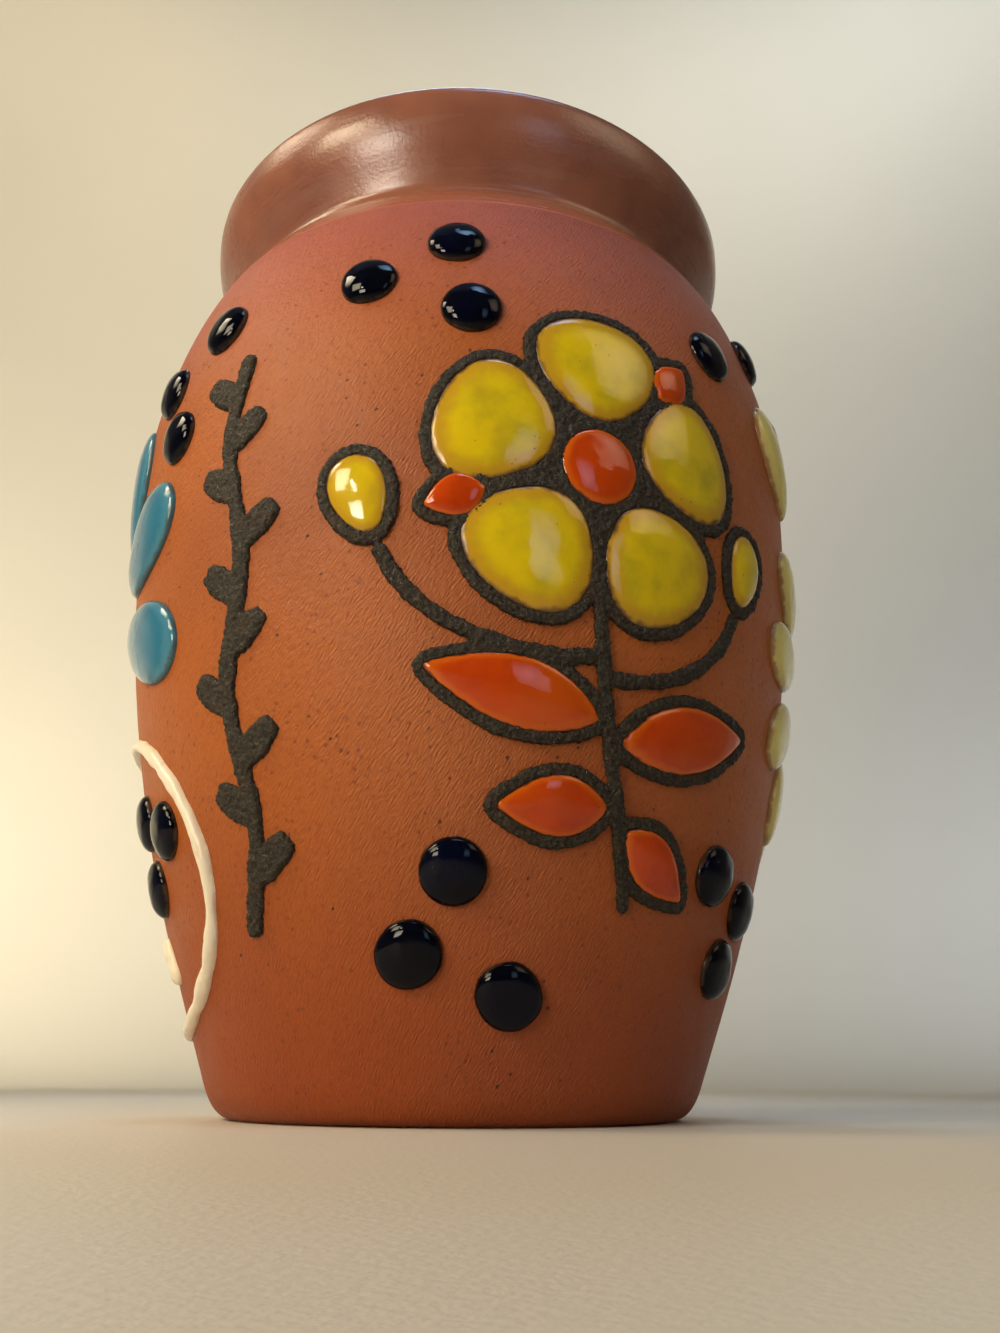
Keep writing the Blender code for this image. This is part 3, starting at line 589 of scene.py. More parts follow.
class Bench:
    """Steps of modelling that every piece uses."""

    @staticmethod
    def clear() -> None:
        """Deselects everything."""
        if bpy.context.object and bpy.context.object.mode != "OBJECT":
            bpy.ops.object.mode_set(mode="OBJECT")
        bpy.ops.object.select_all(action="DESELECT")

    @staticmethod
    def pick(obj: bpy.types.Object) -> None:
        """Makes a piece the one selected object.

        Args:
            obj: The piece.
        """
        Bench.clear()
        obj.select_set(True)
        bpy.context.view_layer.objects.active = obj

    @staticmethod
    @contextmanager
    def editing(obj: bpy.types.Object) -> Iterator[None]:
        """Opens a piece in edit mode with all of it selected, and closes it again.

        Args:
            obj: The piece.

        Returns:
            The context for a with statement.
        """
        Bench.pick(obj)
        bpy.ops.object.mode_set(mode="EDIT")
        bpy.ops.mesh.select_all(action="SELECT")
        yield
        bpy.ops.object.mode_set(mode="OBJECT")

    @staticmethod
    def circle(name: str, sides: int, radius: float) -> bpy.types.Object:
        """Adds a flat filled circle.

        Args:
            name: Its name.
            sides: How many corners it has.
            radius: Its radius.

        Returns:
            The circle.
        """
        Bench.clear()
        bpy.ops.mesh.primitive_circle_add(vertices=sides, radius=radius, fill_type="NGON")
        obj = bpy.context.object
        obj.name = obj.data.name = name
        return obj

    @staticmethod
    def extrude(x: float, y: float, z: float) -> None:
        """Extrudes what is selected in edit mode by this step."""
        bpy.ops.mesh.extrude_region_move(TRANSFORM_OT_translate={"value": (x, y, z)})

    @staticmethod
    def apply(obj: bpy.types.Object, kind: str, settings: dict[str, Any]) -> None:
        """Adds a modifier and applies it.

        Args:
            obj: The piece.
            kind: The modifier's type.
            settings: Its settings.
        """
        Bench.pick(obj)
        made = obj.modifiers.new(kind.lower(), kind)
        for key, value in settings.items():
            setattr(made, key, value)
        bpy.ops.object.modifier_apply(modifier=made.name)

    @staticmethod
    def unevenness(obj: bpy.types.Object, size: float, depth: float) -> None:
        """Moves the surface in and out a little, as a hand leaves it.

        Args:
            obj: The piece, in its place.
            size: How long the waves are.
            depth: How far they go, crest to trough.
        """
        clouds = bpy.data.textures.new("clouds", "CLOUDS")
        clouds.noise_scale = size
        settings = {"texture": clouds, "texture_coords": "LOCAL", "strength": depth}
        Bench.apply(obj, "DISPLACE", {**settings, "mid_level": 0.5})
        bpy.data.textures.remove(clouds)

    @staticmethod
    def smooth(obj: bpy.types.Object, angle: Optional[float] = None) -> None:
        """Shades a piece smooth.

        Args:
            obj: The piece.
            angle: The angle up to which edges are smooth, or None for all of them.
        """
        Bench.pick(obj)
        if angle is None:
            bpy.ops.object.shade_smooth()
        else:
            bpy.ops.object.shade_smooth_by_angle(angle=angle)

    @staticmethod
    def copy(obj: bpy.types.Object, name: str) -> bpy.types.Object:
        """Copies a piece with its mesh.

        Args:
            obj: The piece.
            name: The copy's name.

        Returns:
            The copy.
        """
        Bench.pick(obj)
        bpy.ops.object.duplicate(linked=False)
        made = bpy.context.object
        made.name = made.data.name = name
        return made

    @staticmethod
    def hand_over(obj: bpy.types.Object, finishes: Finishes, slot: Slot, node: str) -> None:
        """Dresses a finished piece and lets it stand for its CAD node.

        Args:
            obj: The piece.
            finishes: All finishes.
            slot: The slot of its finish.
            node: The CAD node that it stands for.
        """
        finishes.dress(obj, slot)
        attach(obj, "root")
        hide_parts(node)
        LOG.info("%s: %d faces, stands for %s", obj.name, len(obj.data.polygons), node)


def unit(turn: float) -> Vector:
    """The direction at this angle, in radians."""
    return Vector((math.cos(turn), math.sin(turn)))


def way(degrees: float, length: float) -> Vector:
    """A step of this length in this direction on the sheet."""
    return unit(math.radians(degrees)) * length


def right_of(along: Vector) -> Vector:
    """The direction a quarter turn to the right of this one."""
    return Vector((along.y, -along.x))


def curve_point(ends: Flat, share: float) -> Vector:
    """The point at this share along a cubic curve given by four points."""
    (a, b, c, d), rest = ends, 1 - share
    return a * rest**3 + b * 3 * rest**2 * share + c * 3 * rest * share**2 + d * share**3


def curve_points(ends: Flat, count: int, low: float = 0.0, high: float = 1.0) -> list[Vector]:
    """Evenly spaced points along a stretch of a cubic curve.

    Args:
        ends: The curve's four points.
        count: How many points.
        low: Share where the stretch starts.
        high: Share where it ends.

    Returns:
        The points, both ends included.
    """
    return [curve_point(ends, low + (high - low) * i / (count - 1)) for i in range(count)]


def walked(points: Flat) -> list[float]:
    """How far it is along a line to each of its points."""
    steps = ((point - before).length for before, point in zip(points, points[1:]))
    return list(accumulate(steps, initial=0.0))


def normals(line: Flat) -> list[Vector]:
    """Unit normals to the right of a line's way, at all its points but the two ends."""
    return [right_of(after - before).normalized() for before, after in zip(line, line[2:])]


def moved_in(points: Flat, depth: float) -> list[Vector]:
    """A line moved this deep to the left of its way."""
    sides = normals([points[0], *points, points[-1]])
    return [point - side * depth for point, side in zip(points, sides)]


def grown(points: Flat, by: float) -> list[Vector]:
    """A closed outline with every corner moved outwards this far."""
    sides = normals([points[-1], *points, points[0]])
    return [point + side * by for point, side in zip(points, sides)]


def round_points(
    middle: Vector, radius: float, turns: Sequence[float], count: int
) -> list[Vector]:
    """Points on a round between two turns, its ends left out.

    Args:
        middle: The round's middle.
        radius: Its radius.
        turns: The turns at its ends, in radians.
        count: How many points.

    Returns:
        The points.
    """
    first, last = turns
    steps = [first + (last - first) * (i + 1) / (count + 1) for i in range(count)]
    return [middle + radius * unit(step) for step in steps]


def turned_and_moved(points: Flat, degrees: float, spot: Sequence[float]) -> list[Vector]:
    """Flat points turned round the origin, then moved to the spot."""
    turn = Matrix.Rotation(math.radians(degrees), 2)
    return [turn @ p + Vector(spot) for p in points]


def reach(outlines: Sequence[Flat], side: int) -> float:
    """How far the outlines reach to the right, or with side -1 to the left."""
    return max(side * point.x for outline in outlines for point in outline)


@dataclass
class VaseForm:
    """The turned form: its outline, the clay and the coat on the collar.

    An outline is a line of (radius, height). A pull is how far from an end of a curve, as
    a share of its size, that end's handle lies. Steps are numbers of points.
    """

    base_radius: float = 0.0500
    heel: Vector = field(default_factory=lambda: Vector((0.0576, 0.0073)))
    belly: Vector = field(default_factory=lambda: Vector((0.0868, 0.1550)))
    neck: Vector = field(default_factory=lambda: Vector((0.0679, 0.2144)))
    lip_radius: float = 0.0755
    top: float = 0.2400
    wall: float = 0.0060
    floor: float = 0.0080
    crease: float = 0.0035
    inner_heel: float = 0.0140
    heel_lean: float = math.radians(20)
    shoulder_slope: float = math.radians(40)
    collar_slope: float = math.radians(66)
    round_pull: float = 0.55
    belly_pulls: tuple[float, float] = (0.255, 0.478)
    shoulder_pulls: tuple[float, float] = (0.32, 0.2)
    collar_pull: float = 0.42
    base_ring: float = 0.025
    floor_ring: float = 0.02
    coat: float = 0.0013
    sink: float = 0.0010
    throat: float = 0.0480
    sides: int = 192
    weld: float = 0.00002
    bare_steps: Steps = (14, 60, 36)
    glazed_steps: Steps = (8, 9, 16)
    lip_steps: int = 11
    inner_steps: Steps = (3, 24, 12)
    throat_steps: Steps = (4, 1, 8)
    foot_steps: int = 12
    waves: tuple[float, float] = (0.035, 0.0004)
    clay_edge: float = math.radians(40)
    coat_edge: float = math.radians(50)

    def heel_slope(self) -> Vector:
        """The direction of the wall where it leaves the heel."""
        return Vector((math.sin(self.heel_lean), math.cos(self.heel_lean)))

    def heel_curve(self) -> Flat:
        """The rounded edge between the base and the wall.

        Returns:
            The curve's four points.
        """
        base = Vector((self.base_radius, 0))
        across = Vector(((self.heel.x - self.base_radius) * self.round_pull, 0))
        rise = self.heel_slope() * self.heel.y * self.round_pull
        return base, base + across, self.heel - rise, self.heel

    def belly_curve(self) -> Flat:
        """The wall from the heel to the widest point.

        Returns:
            The curve's four points.
        """
        first, last = self.belly_pulls
        rise = self.belly.y - self.heel.y
        above = self.heel + self.heel_slope() * first * rise
        return self.heel, above, self.belly - Vector((0, last * rise)), self.belly

    def crease_middle(self) -> Vector:
        """The middle of the crease's round."""
        return self.neck + Vector((self.crease, 0))

    def shoulder_curve(self) -> Flat:
        """The wall from the widest point to the crease.

        Returns:
            The curve's four points.
        """
        first, last = self.shoulder_pulls
        rise = self.neck.y - self.belly.y
        across = unit(-self.shoulder_slope)
        end = self.crease_middle() + right_of(across) * self.crease
        below = self.belly + Vector((0, first * rise))
        return self.belly, below, end + across * last * rise, end

    def crease_points(self, count: int) -> list[Vector]:
        """The hollow round between shoulder and collar, its ends left out."""
        turns = (math.pi * 1.5 - self.shoulder_slope, math.pi / 2 + self.collar_slope)
        return round_points(self.crease_middle(), self.crease, turns, count)

    def collar_curve(self) -> Flat:
        """The flared face of the collar, up to where the lip turns in.

        Returns:
            The curve's four points.
        """
        along = unit(self.collar_slope)
        start = self.crease_middle() - right_of(along) * self.crease
        end = Vector((self.lip_radius, self.top - self.wall / 2))
        pull = (end - start).length * self.collar_pull
        return start, start + along * pull, end - Vector((0, pull)), end

    def lip_points(self, count: int) -> list[Vector]:
        """The rounded top of the lip from outside to inside, its ends left out."""
        middle = Vector((self.lip_radius - self.wall / 2, self.top - self.wall / 2))
        return round_points(middle, self.wall / 2, (0, math.pi), count)

    def border_share(self) -> float:
        """Where the glaze border meets the shoulder, found by halving.

        Returns:
            The share along the shoulder's curve.
        """
        low, high = 0.0, 1.0
        for _ in range(40):
            middle = (low + high) / 2
            below = curve_point(self.shoulder_curve(), middle).y < GLAZE_BORDER
            low, high = (middle, high) if below else (low, middle)
        return low

    def bare(self, steps: Steps) -> list[Vector]:
        """The bare outside from the base's edge to the glaze border.

        Args:
            steps: Points on the heel, on to the widest point, and on to the border.

        Returns:
            The outline.
        """
        heel, belly, shoulder = steps
        return (
            curve_points(self.heel_curve(), heel)
            + curve_points(self.belly_curve(), belly)[1:]
            + curve_points(self.shoulder_curve(), shoulder, 0.0, self.border_share())[1:]
        )

    def glazed(self, steps: Steps) -> list[Vector]:
        """The glazed outside from the border up to where the lip turns in.

        Args:
            steps: Points up to the crease, in it, and on the collar.

        Returns:
            The outline.
        """
        neck, crease, collar = steps
        return (
            curve_points(self.shoulder_curve(), neck, self.border_share(), 1.0)
            + self.crease_points(crease)
            + curve_points(self.collar_curve(), collar)
        )

    def inside(self) -> list[Vector]:
        """The finished inside.

        Returns:
            The outline from the lip down to where the inner heel starts.
        """
        outside = self.bare(self.inner_steps) + self.glazed(self.throat_steps)[1:]
        line = moved_in(outside, self.wall)[::-1]
        return [p for p in line if p.y > self.floor + self.inner_heel]

    def inner_foot(self, last: Vector, before: Vector) -> list[Vector]:
        """The round from the inside wall onto the floor, and the floor.

        Args:
            last: The lowest point of the inside wall.
            before: The point above it.

        Returns:
            The outline, to the middle of the floor.
        """
        down = (last - before).normalized() * self.inner_heel
        pull = self.inner_heel * self.round_pull
        foot = Vector((last.x + down.x - pull, self.floor))
        ends = (last, last + down * self.round_pull, foot + Vector((pull, 0)), foot)
        floor = [Vector((radius, self.floor)) for radius in (self.floor_ring, 0)]
        return curve_points(ends, self.foot_steps)[1:] + floor

    def spun(self, name: str, line: Flat, closed: bool) -> bpy.types.Object:
        """Spins an outline round the Z axis.

        Args:
            name: The piece's name.
            line: The outline.
            closed: Whether it is a ring, as for a skin.

        Returns:
            The piece.
        """
        Bench.clear()
        bpy.ops.mesh.primitive_plane_add(size=self.wall, location=(0, 0, 0))
        obj = bpy.context.object
        obj.name = obj.data.name = name
        ring = list(line) + ([line[0]] if closed else [])
        around = {"center": (0, 0, 0), "axis": (0, 0, 1)}
        with Bench.editing(obj):
            bpy.ops.mesh.merge(type="CENTER")
            bpy.ops.transform.translate(value=(line[0].x, 0, line[0].y))
            for before, point in zip(ring, ring[1:]):
                Bench.extrude(point.x - before.x, 0, point.y - before.y)
            bpy.ops.mesh.select_all(action="SELECT")
            bpy.ops.mesh.spin(steps=self.sides, angle=math.tau, **around)
            bpy.ops.mesh.select_all(action="SELECT")
            bpy.ops.mesh.remove_doubles(threshold=self.weld)
            bpy.ops.mesh.normals_make_consistent(inside=False)
        return obj

    def build(self, finishes: Finishes) -> None:
        """Builds the clay and the coat.

        Args:
            finishes: All finishes.
        """
        inside = self.inside()
        throat = [p for p in inside if p.y >= self.top - self.throat]
        below = [p for p in inside if p.y < self.top - self.throat]
        run = self.glazed(self.glazed_steps) + self.lip_points(self.lip_steps) + throat
        base = [Vector((0, 0)), Vector((self.base_ring, 0))]
        line = base + self.bare(self.bare_steps) + moved_in(run, self.sink) + below
        line += self.inner_foot(below[-1], below[-2])
        clay = self.spun("clay_form", line, False)
        Bench.unevenness(clay, *self.waves)
        Bench.smooth(clay, self.clay_edge)
        Bench.hand_over(clay, finishes, Slot.CLAY, "vase_body")
        coat = self.spun("collar_coat", run + moved_in(run, self.coat)[::-1], True)
        Bench.smooth(coat, self.coat_edge)
        Bench.hand_over(coat, finishes, Slot.COLLAR, "collar_glaze")


class Wall:
    """The bare outside as a sheet: distance up the wall to a place and a normal."""

    steps = (20, 160, 80)

    def __init__(self, form: VaseForm) -> None:
        """Measures the outline."""
        self.points = form.bare(self.steps)
        self.normals = normals([self.points[0], *self.points, self.points[-1]])
        self.walks = walked(self.points)
        self.band = self.walks[-1]

    def at(self, walk: float) -> tuple[Vector, Vector]:
        """Finds a place on the outline.

        Args:
            walk: How far up the wall it is.

        Returns:
            The point and the normal there.
        """
        high = min(max(bisect_right(self.walks, walk), 1), len(self.walks) - 1)
        low = high - 1
        share = (walk - self.walks[low]) / (self.walks[high] - self.walks[low])
        point = self.points[low].lerp(self.points[high], share)
        return point, self.normals[low].lerp(self.normals[high], share).normalized()


@dataclass(frozen=True)
class Sheet:
    """The sheet on which the decoration was drawn, shaped like the wall."""

    radius: float = 0.0868
    rise: float = 0.2109
    girth: float = 0.772
    foot_loss: float = 0.393
    top_loss: float = 0.126

    def radius_at(self, rise: float) -> float:
        """The radius of the sheet at a rise.

        Args:
            rise: How far up the sheet.

        Returns:
            The radius.
        """
        girth = self.girth * self.rise
        if rise < girth:
            return self.radius * (1 - self.foot_loss * (1 - rise / girth) ** 2)
        return self.radius * (1 - self.top_loss * ((rise - girth) / (self.rise - girth)) ** 2)


class Patch:
    """Flat drawing coordinates wrapped onto the wall round one point of it."""

    sheet = Sheet()

    def __init__(self, wall: Wall, turn: float, rise: float) -> None:
        """Keeps the wall and the point."""
        self.wall = wall
        self.turn = turn
        self.rise = rise

    def beside(self, across: float, rise: float) -> "Patch":
        """The patch this far across from here, measured at the other's own rise."""
        return Patch(self.wall, self.turn + across / self.sheet.radius_at(rise), rise)

    def near(self, spot: Sequence[float]) -> "Patch":
        """The patch whose middle is at this spot of the drawing."""
        return self.beside(spot[0], self.rise + spot[1])

    def place(self, flat: Vector) -> Vector:
        """Finds the place of a drawn point on the vase.

        Args:
            flat: The point, drawn at x, y and lifted by z.

        Returns:
            Its place.
        """
        rise = self.rise + flat.y
        point, normal = self.wall.at(rise * self.wall.band / self.sheet.rise)
        turn = self.turn + flat.x / self.sheet.radius_at(rise)
        lifted = point + normal * flat.z
        return Vector((lifted.x * math.sin(turn), -lifted.x * math.cos(turn), lifted.y))

    def wrap(self, obj: bpy.types.Object) -> None:
        """Bends a flat piece onto the wall.

        Args:
            obj: The piece.
        """
        for vert in obj.data.vertices:
            vert.co = self.place(vert.co)
        with Bench.editing(obj):
            bpy.ops.mesh.normals_make_consistent(inside=False)


@dataclass(frozen=True)
class Egg:
    """A rounded petal, lobe or bud along +X, narrower at its foot."""

    length: float
    width: float
    count: int = 48
    foot_share: float = 0.62
    swell: float = 0.42

    def outline(self) -> list[Vector]:
        """Draws it.

        Returns:
            The outline.
        """
        points = []
        for i in range(self.count):
            turn = math.tau * i / self.count
            along = (1 - math.cos(turn)) / 2
            side = -self.width / 2 * math.sin(turn) * (self.foot_share + self.swell * along)
            points.append(Vector((self.length * along, side)))
        return points


@dataclass(frozen=True)
class Leaf:
    """A leaf along +X, pointed at both ends and widest before its middle."""

    length: float
    width: float
    count: int = 48
    lean: float = 0.85
    fullness: float = 0.9

    def outline(self) -> list[Vector]:
        """Draws it.

        Returns:
            The outline.
        """
        half = self.count // 2
        upper = []
        for i in range(half + 1):
            along = (1 - math.cos(math.pi * i / half)) / 2
            side = math.sin(math.pi * along**self.lean) ** self.fullness if 0 < i < half else 0
            upper.append(Vector((self.length * along, self.width / 2 * side)))
        return [Vector((p.x, -p.y)) for p in upper[1:-1]] + upper[::-1]


def disc(width: float, count: int) -> list[Vector]:
    """A round outline."""
    turns = [math.tau * i / count for i in range(count)]
    return [Vector((width / 2 * math.cos(t), width / 2 * math.sin(t))) for t in turns]


@dataclass(frozen=True)
class Dome:
    """The section of a pool of glaze: its crown, its edge and how full it stands."""

    crown: float
    edge: float
    fullness: float = 2.0
    rings: int = 9
    root: float = 0.0006
    tuck: float = 0.0

    def heights(self) -> list[tuple[float, float]]:
        """Works out its rings.

        Returns:
            Each ring's share of the width and its height, from the edge to near the middle.
        """
        found = []
        for i in range(self.rings):
            out = math.cos(math.pi / 2 * i / self.rings)
            height = (1 - out**self.fullness) ** (1 / self.fullness)
            found.append((out, self.edge + (self.crown - self.edge) * height))
        return found


POOL = Dome(crown=0.0020, edge=0.0006, tuck=0.0007)
LOBE = Dome(crown=0.0029, edge=0.0, fullness=2.4, rings=12)
DOT = Dome(crown=0.0029, edge=0.0, fullness=2.2, rings=12)


class PoolMaker:
    """Models a pool of glaze flat: an outline, raised ring by ring to its crown."""

    centre_size = 1e-6

    @staticmethod
    def flat(name: str, outline: Flat, dome: Dome) -> bpy.types.Object:
        """Models one pool in the flat drawing.

        Args:
            name: The piece's name.
            outline: Its outline.
            dome: Its section.

        Returns:
            The flat piece, closed below.
        """
        middle = sum(outline, Vector((0, 0))) / len(outline)
        obj = Bench.circle(name, len(outline), 1)
        for vert, point in zip(obj.data.vertices, outline):
            vert.co = (point.x, point.y, -dome.root)
        share, level = 1.0, -dome.root
        with Bench.editing(obj):
            for out, height in dome.heights():
                Bench.extrude(0, 0, height - level)
                size = (out / share, out / share, 1)
                bpy.ops.transform.resize(value=size, center_override=(*middle, height))
                share, level = out, height
            bpy.ops.mesh.poke()
        peak = max(obj.data.vertices, key=lambda vert: vert.co.z)
        centre = min(obj.data.vertices, key=lambda vert: (vert.co.xy - middle).length)
        centre.co.z = max(dome.crown, peak.co.z)
        PoolMaker.mark_rim(obj, middle, outline)
        return obj

    @staticmethod
    def mark_rim(obj: bpy.types.Object, middle: Vector, outline: Flat) -> None:
        """Writes how far inside the outline each point lies, 0 on it and 1 in the middle.

        Args:
            obj: The flat pool.
            middle: Its middle.
            outline: Its outline.
        """
        mark = obj.data.attributes.new(RIM, "FLOAT", "POINT")
        turns = [math.atan2(*(p - middle).yx) for p in outline]
        for vert, value in zip(obj.data.vertices, mark.data):
            off = vert.co.xy - middle
            if off.length < PoolMaker.centre_size:
                value.value = 1.0
                continue
            turn = math.atan2(off.y, off.x)
            gap = [abs(math.remainder(turn - t, math.tau)) for t in turns]
            nearest = outline[gap.index(min(gap))] - middle
            value.value = 1 - off.length / nearest.length


@dataclass(frozen=True)
class Stroke:
    """A trailed stroke: a line of points, its width, and whether it closes."""

    line: Flat
    width: float
    closed: bool = False
    wave: float = 0.004
    waver: float = 0.22
    blunt: float = 0.02

    def shares(self) -> list[float]:
        """Works out how thick it is: uneven, and round at open ends.

        Returns:
            The share of its full width at each point.
        """
        walks = walked(self.line)
        found = []
        for point, walk in zip(self.line, walks):
            share = 1 + self.waver * noise.noise(point.to_3d() / self.wave)
            if not self.closed:
                inward = min(walk, walks[-1] - walk) / (self.width / 2)
                share *= math.sqrt(max(1 - (1 - min(inward, 1)) ** 2, self.blunt))
            found.append(share)
        return found


class BeadMaker:
    """Models trailed slip flat: round strokes, flattened and melted into one."""

    @staticmethod
    def trail(name: str, strokes: Sequence[Stroke]) -> bpy.types.Object:
        """Lays the strokes as one curve with a round section.

        Args:
            name: The piece's name.
            strokes: The strokes.

        Returns:
            The curve.
        """
        Bench.clear()
        bpy.ops.curve.primitive_bezier_curve_add(location=(0, 0, 0))
        obj = bpy.context.object
        obj.name = obj.data.name = name
        obj.data.splines.clear()
        width = strokes[0].width
        for stroke in strokes:
            spline = obj.data.splines.new("POLY")
            spline.points.add(len(stroke.line) - 1)
            spline.use_cyclic_u = stroke.closed
            for knot, point, share in zip(spline.points, stroke.line, stroke.shares()):
                knot.co = (point.x, point.y, 0, 1)
                knot.radius = stroke.width / width * share
        obj.data.dimensions = "3D"
        obj.data.bevel_depth = width / 2
        obj.data.bevel_resolution = 3
        obj.data.use_fill_caps = True
        return obj

    @staticmethod
    def flat(
        name: str, strokes: Sequence[Stroke], height: float, grain: float
    ) -> bpy.types.Object:
        """Models strokes in the flat drawing.

        Args:
            name: The piece's name.
            strokes: The strokes; they melt into one where they meet.
            height: How high they stand.
            grain: The finest detail that is kept.

        Returns:
            The flat piece.
        """
        obj = BeadMaker.trail(name, strokes)
        Bench.pick(obj)
        bpy.ops.object.convert(target="MESH")
        squash = (1, 1, height / (strokes[0].width / 2))
        with Bench.editing(obj):
            bpy.ops.transform.resize(value=squash, center_override=(0, 0, 0))
        Bench.apply(obj, "REMESH", {"mode": "VOXEL", "voxel_size": grain})
        Bench.apply(obj, "SMOOTH", {"iterations": 4, "factor": 0.5})
        return obj


@dataclass(frozen=True)
class SlipLeaf:
    """A small leaf filled with slip: strokes side by side from its foot to its tip."""

    length: float
    width: float
    sides: tuple[float, ...]
    bulge: float
    stroke: float
    count: int
    shoulders: tuple[float, float] = (0.3, 0.7)

    def strokes(self, foot: Vector, turn: float) -> list[Stroke]:
        """Draws one leaf.

        Args:
            foot: Where it starts.
            turn: Where it points, in degrees.

        Returns:
            Its strokes.
        """
        tip = foot + way(turn, self.length)
        first, last = self.shoulders
        found = []
        for side in self.sides:
            bend = way(turn + 90, side * self.width * self.bulge)
            ends = (foot, foot.lerp(tip, first) + bend, foot.lerp(tip, last) + bend, tip)
            found.append(Stroke(curve_points(ends, self.count), self.width * self.stroke))
        return found


@dataclass
class Blossom:
    """A five-petalled blossom: petals from the heart's line outwards."""

    heart: float = 0.0156
    petal: Egg = Egg(0.0242, 0.0320)
    petals: int = 5
    first_turn: float = 90

    def foot(self) -> float:
        """How far a petal starts from the blossom's middle."""
        return self.heart / 2 + LINE + 2 * GAP

    def reach(self) -> float:
        """How far the petals' line reaches from the blossom's middle."""
        return self.foot() + self.petal.length + GAP + LINE

    def turns(self, shift: float) -> list[float]:
        """Directions of the petals, shifted by this share of a petal."""
        return [self.first_turn + 360 / self.petals * (i + shift) for i in range(self.petals)]

    def corners(self, spot: Sequence[float]) -> list[Stroke]:
        """Short strokes that fill the corners between the petals at the heart.

        Args:
            spot: The blossom's middle.

        Returns:
            The strokes.
        """
        low, high = self.foot() - LINE / 2, self.foot() + LINE
        radii = (low, (low + high) / 2, high)
        lines = [[Vector(spot) + way(turn, r) for r in radii] for turn in self.turns(0.5)]
        return [Stroke(line, LINE) for line in lines]

    def outlines(self, spot: Sequence[float]) -> tuple[list[list[Vector]], list[Vector]]:
        """Draws the pools.

        Args:
            spot: The blossom's middle.

        Returns:
            The petals' outlines and the heart's.
        """
        shape = [p + Vector((self.foot(), 0)) for p in self.petal.outline()]
        petals = [turned_and_moved(shape, turn, spot) for turn in self.turns(0)]
        return petals, turned_and_moved(disc(self.heart, self.petal.count), 0, spot)


class Decoration:
    """What every part of the decoration shares: the finishes and how slip and glaze lie."""

    stem = 0.0032
    stem_start = 0.08
    stem_steps = 60
    bead_height = 0.0015
    bead_level = 0.0009
    bead_press = 0.3
    bead_grain = 0.00037
    slip_waves = ((0.0008, 0.0009), (0.0030, 0.0004))
    pool_waves = (0.006, 0.00025)

    def __init__(self, finishes: Finishes) -> None:
        """Keeps the finishes."""
        self.finishes = finishes

    def lay(
        self,
        obj: bpy.types.Object,
        node: str,
        patch: Patch,
        slot: Slot,
        waves: Optional[tuple[float, float]] = None,
    ) -> None:
        """Lays a flat piece on the wall in place of a CAD node.

        Args:
            obj: The piece.
            node: The CAD node.
            patch: Where it lies.
            slot: Its finish.
            waves: The size and depth of the unevenness it gets there, if any.
        """
        patch.wrap(obj)
        if waves:
            Bench.unevenness(obj, *waves)
        Bench.smooth(obj)
        Bench.hand_over(obj, self.finishes, slot, node)

    def pool(
        self, node: str, outline: Flat, patch: Patch, slot: Slot, dome: Dome = POOL
    ) -> None:
        """Builds one pool of glaze in place of a CAD node.

        Args:
            node: The CAD node.
            outline: The node's outline on the sheet.
            patch: Where it lies.
            slot: Its finish.
            dome: Its section.
        """
        obj = PoolMaker.flat("glaze_" + node, grown(outline, dome.tuck), dome)
        self.lay(obj, node, patch, slot, self.pool_waves)

    def pools(
        self, kind: str, outlines: Sequence[Flat], patch: Patch, slot: Slot, dome: Dome = POOL
    ) -> None:
        """Builds pools in place of CAD nodes that are numbered from 1.

        Args:
            kind: The nodes' name before the number.
            outlines: Their outlines on the sheet.
            patch: Where they lie.
            slot: Their finish.
            dome: Their section.
        """
        for number, outline in enumerate(outlines, 1):
            self.pool(f"{kind}_{number}", outline, patch, slot, dome)

    def round_line(self, outline: Flat) -> Stroke:
        """The slip line round a pool."""
        return Stroke(grown(outline, GAP + LINE / 2), LINE, True)

    def stem_line(self, stem: Flat) -> Stroke:
        """The stem under a blossom, from its heart's line down."""
        return Stroke(curve_points(stem, self.stem_steps, self.stem_start), self.stem)

    def slip(self, node: str, strokes: Sequence[Stroke], patch: Patch) -> None:
        """Builds black slip in place of a CAD node.

        Args:
            node: The CAD node.
            strokes: Its strokes on the sheet.
            patch: Where it lies.
        """
        obj = BeadMaker.flat("slip_" + node, strokes, self.bead_height, self.bead_grain)
        for vert in obj.data.vertices:
            if vert.co.z > self.bead_level:
                vert.co.z = self.bead_level + (vert.co.z - self.bead_level) * self.bead_press
        for waves in self.slip_waves:
            Bench.unevenness(obj, *waves)
        self.lay(obj, node, patch, Slot.BLACK_SLIP)


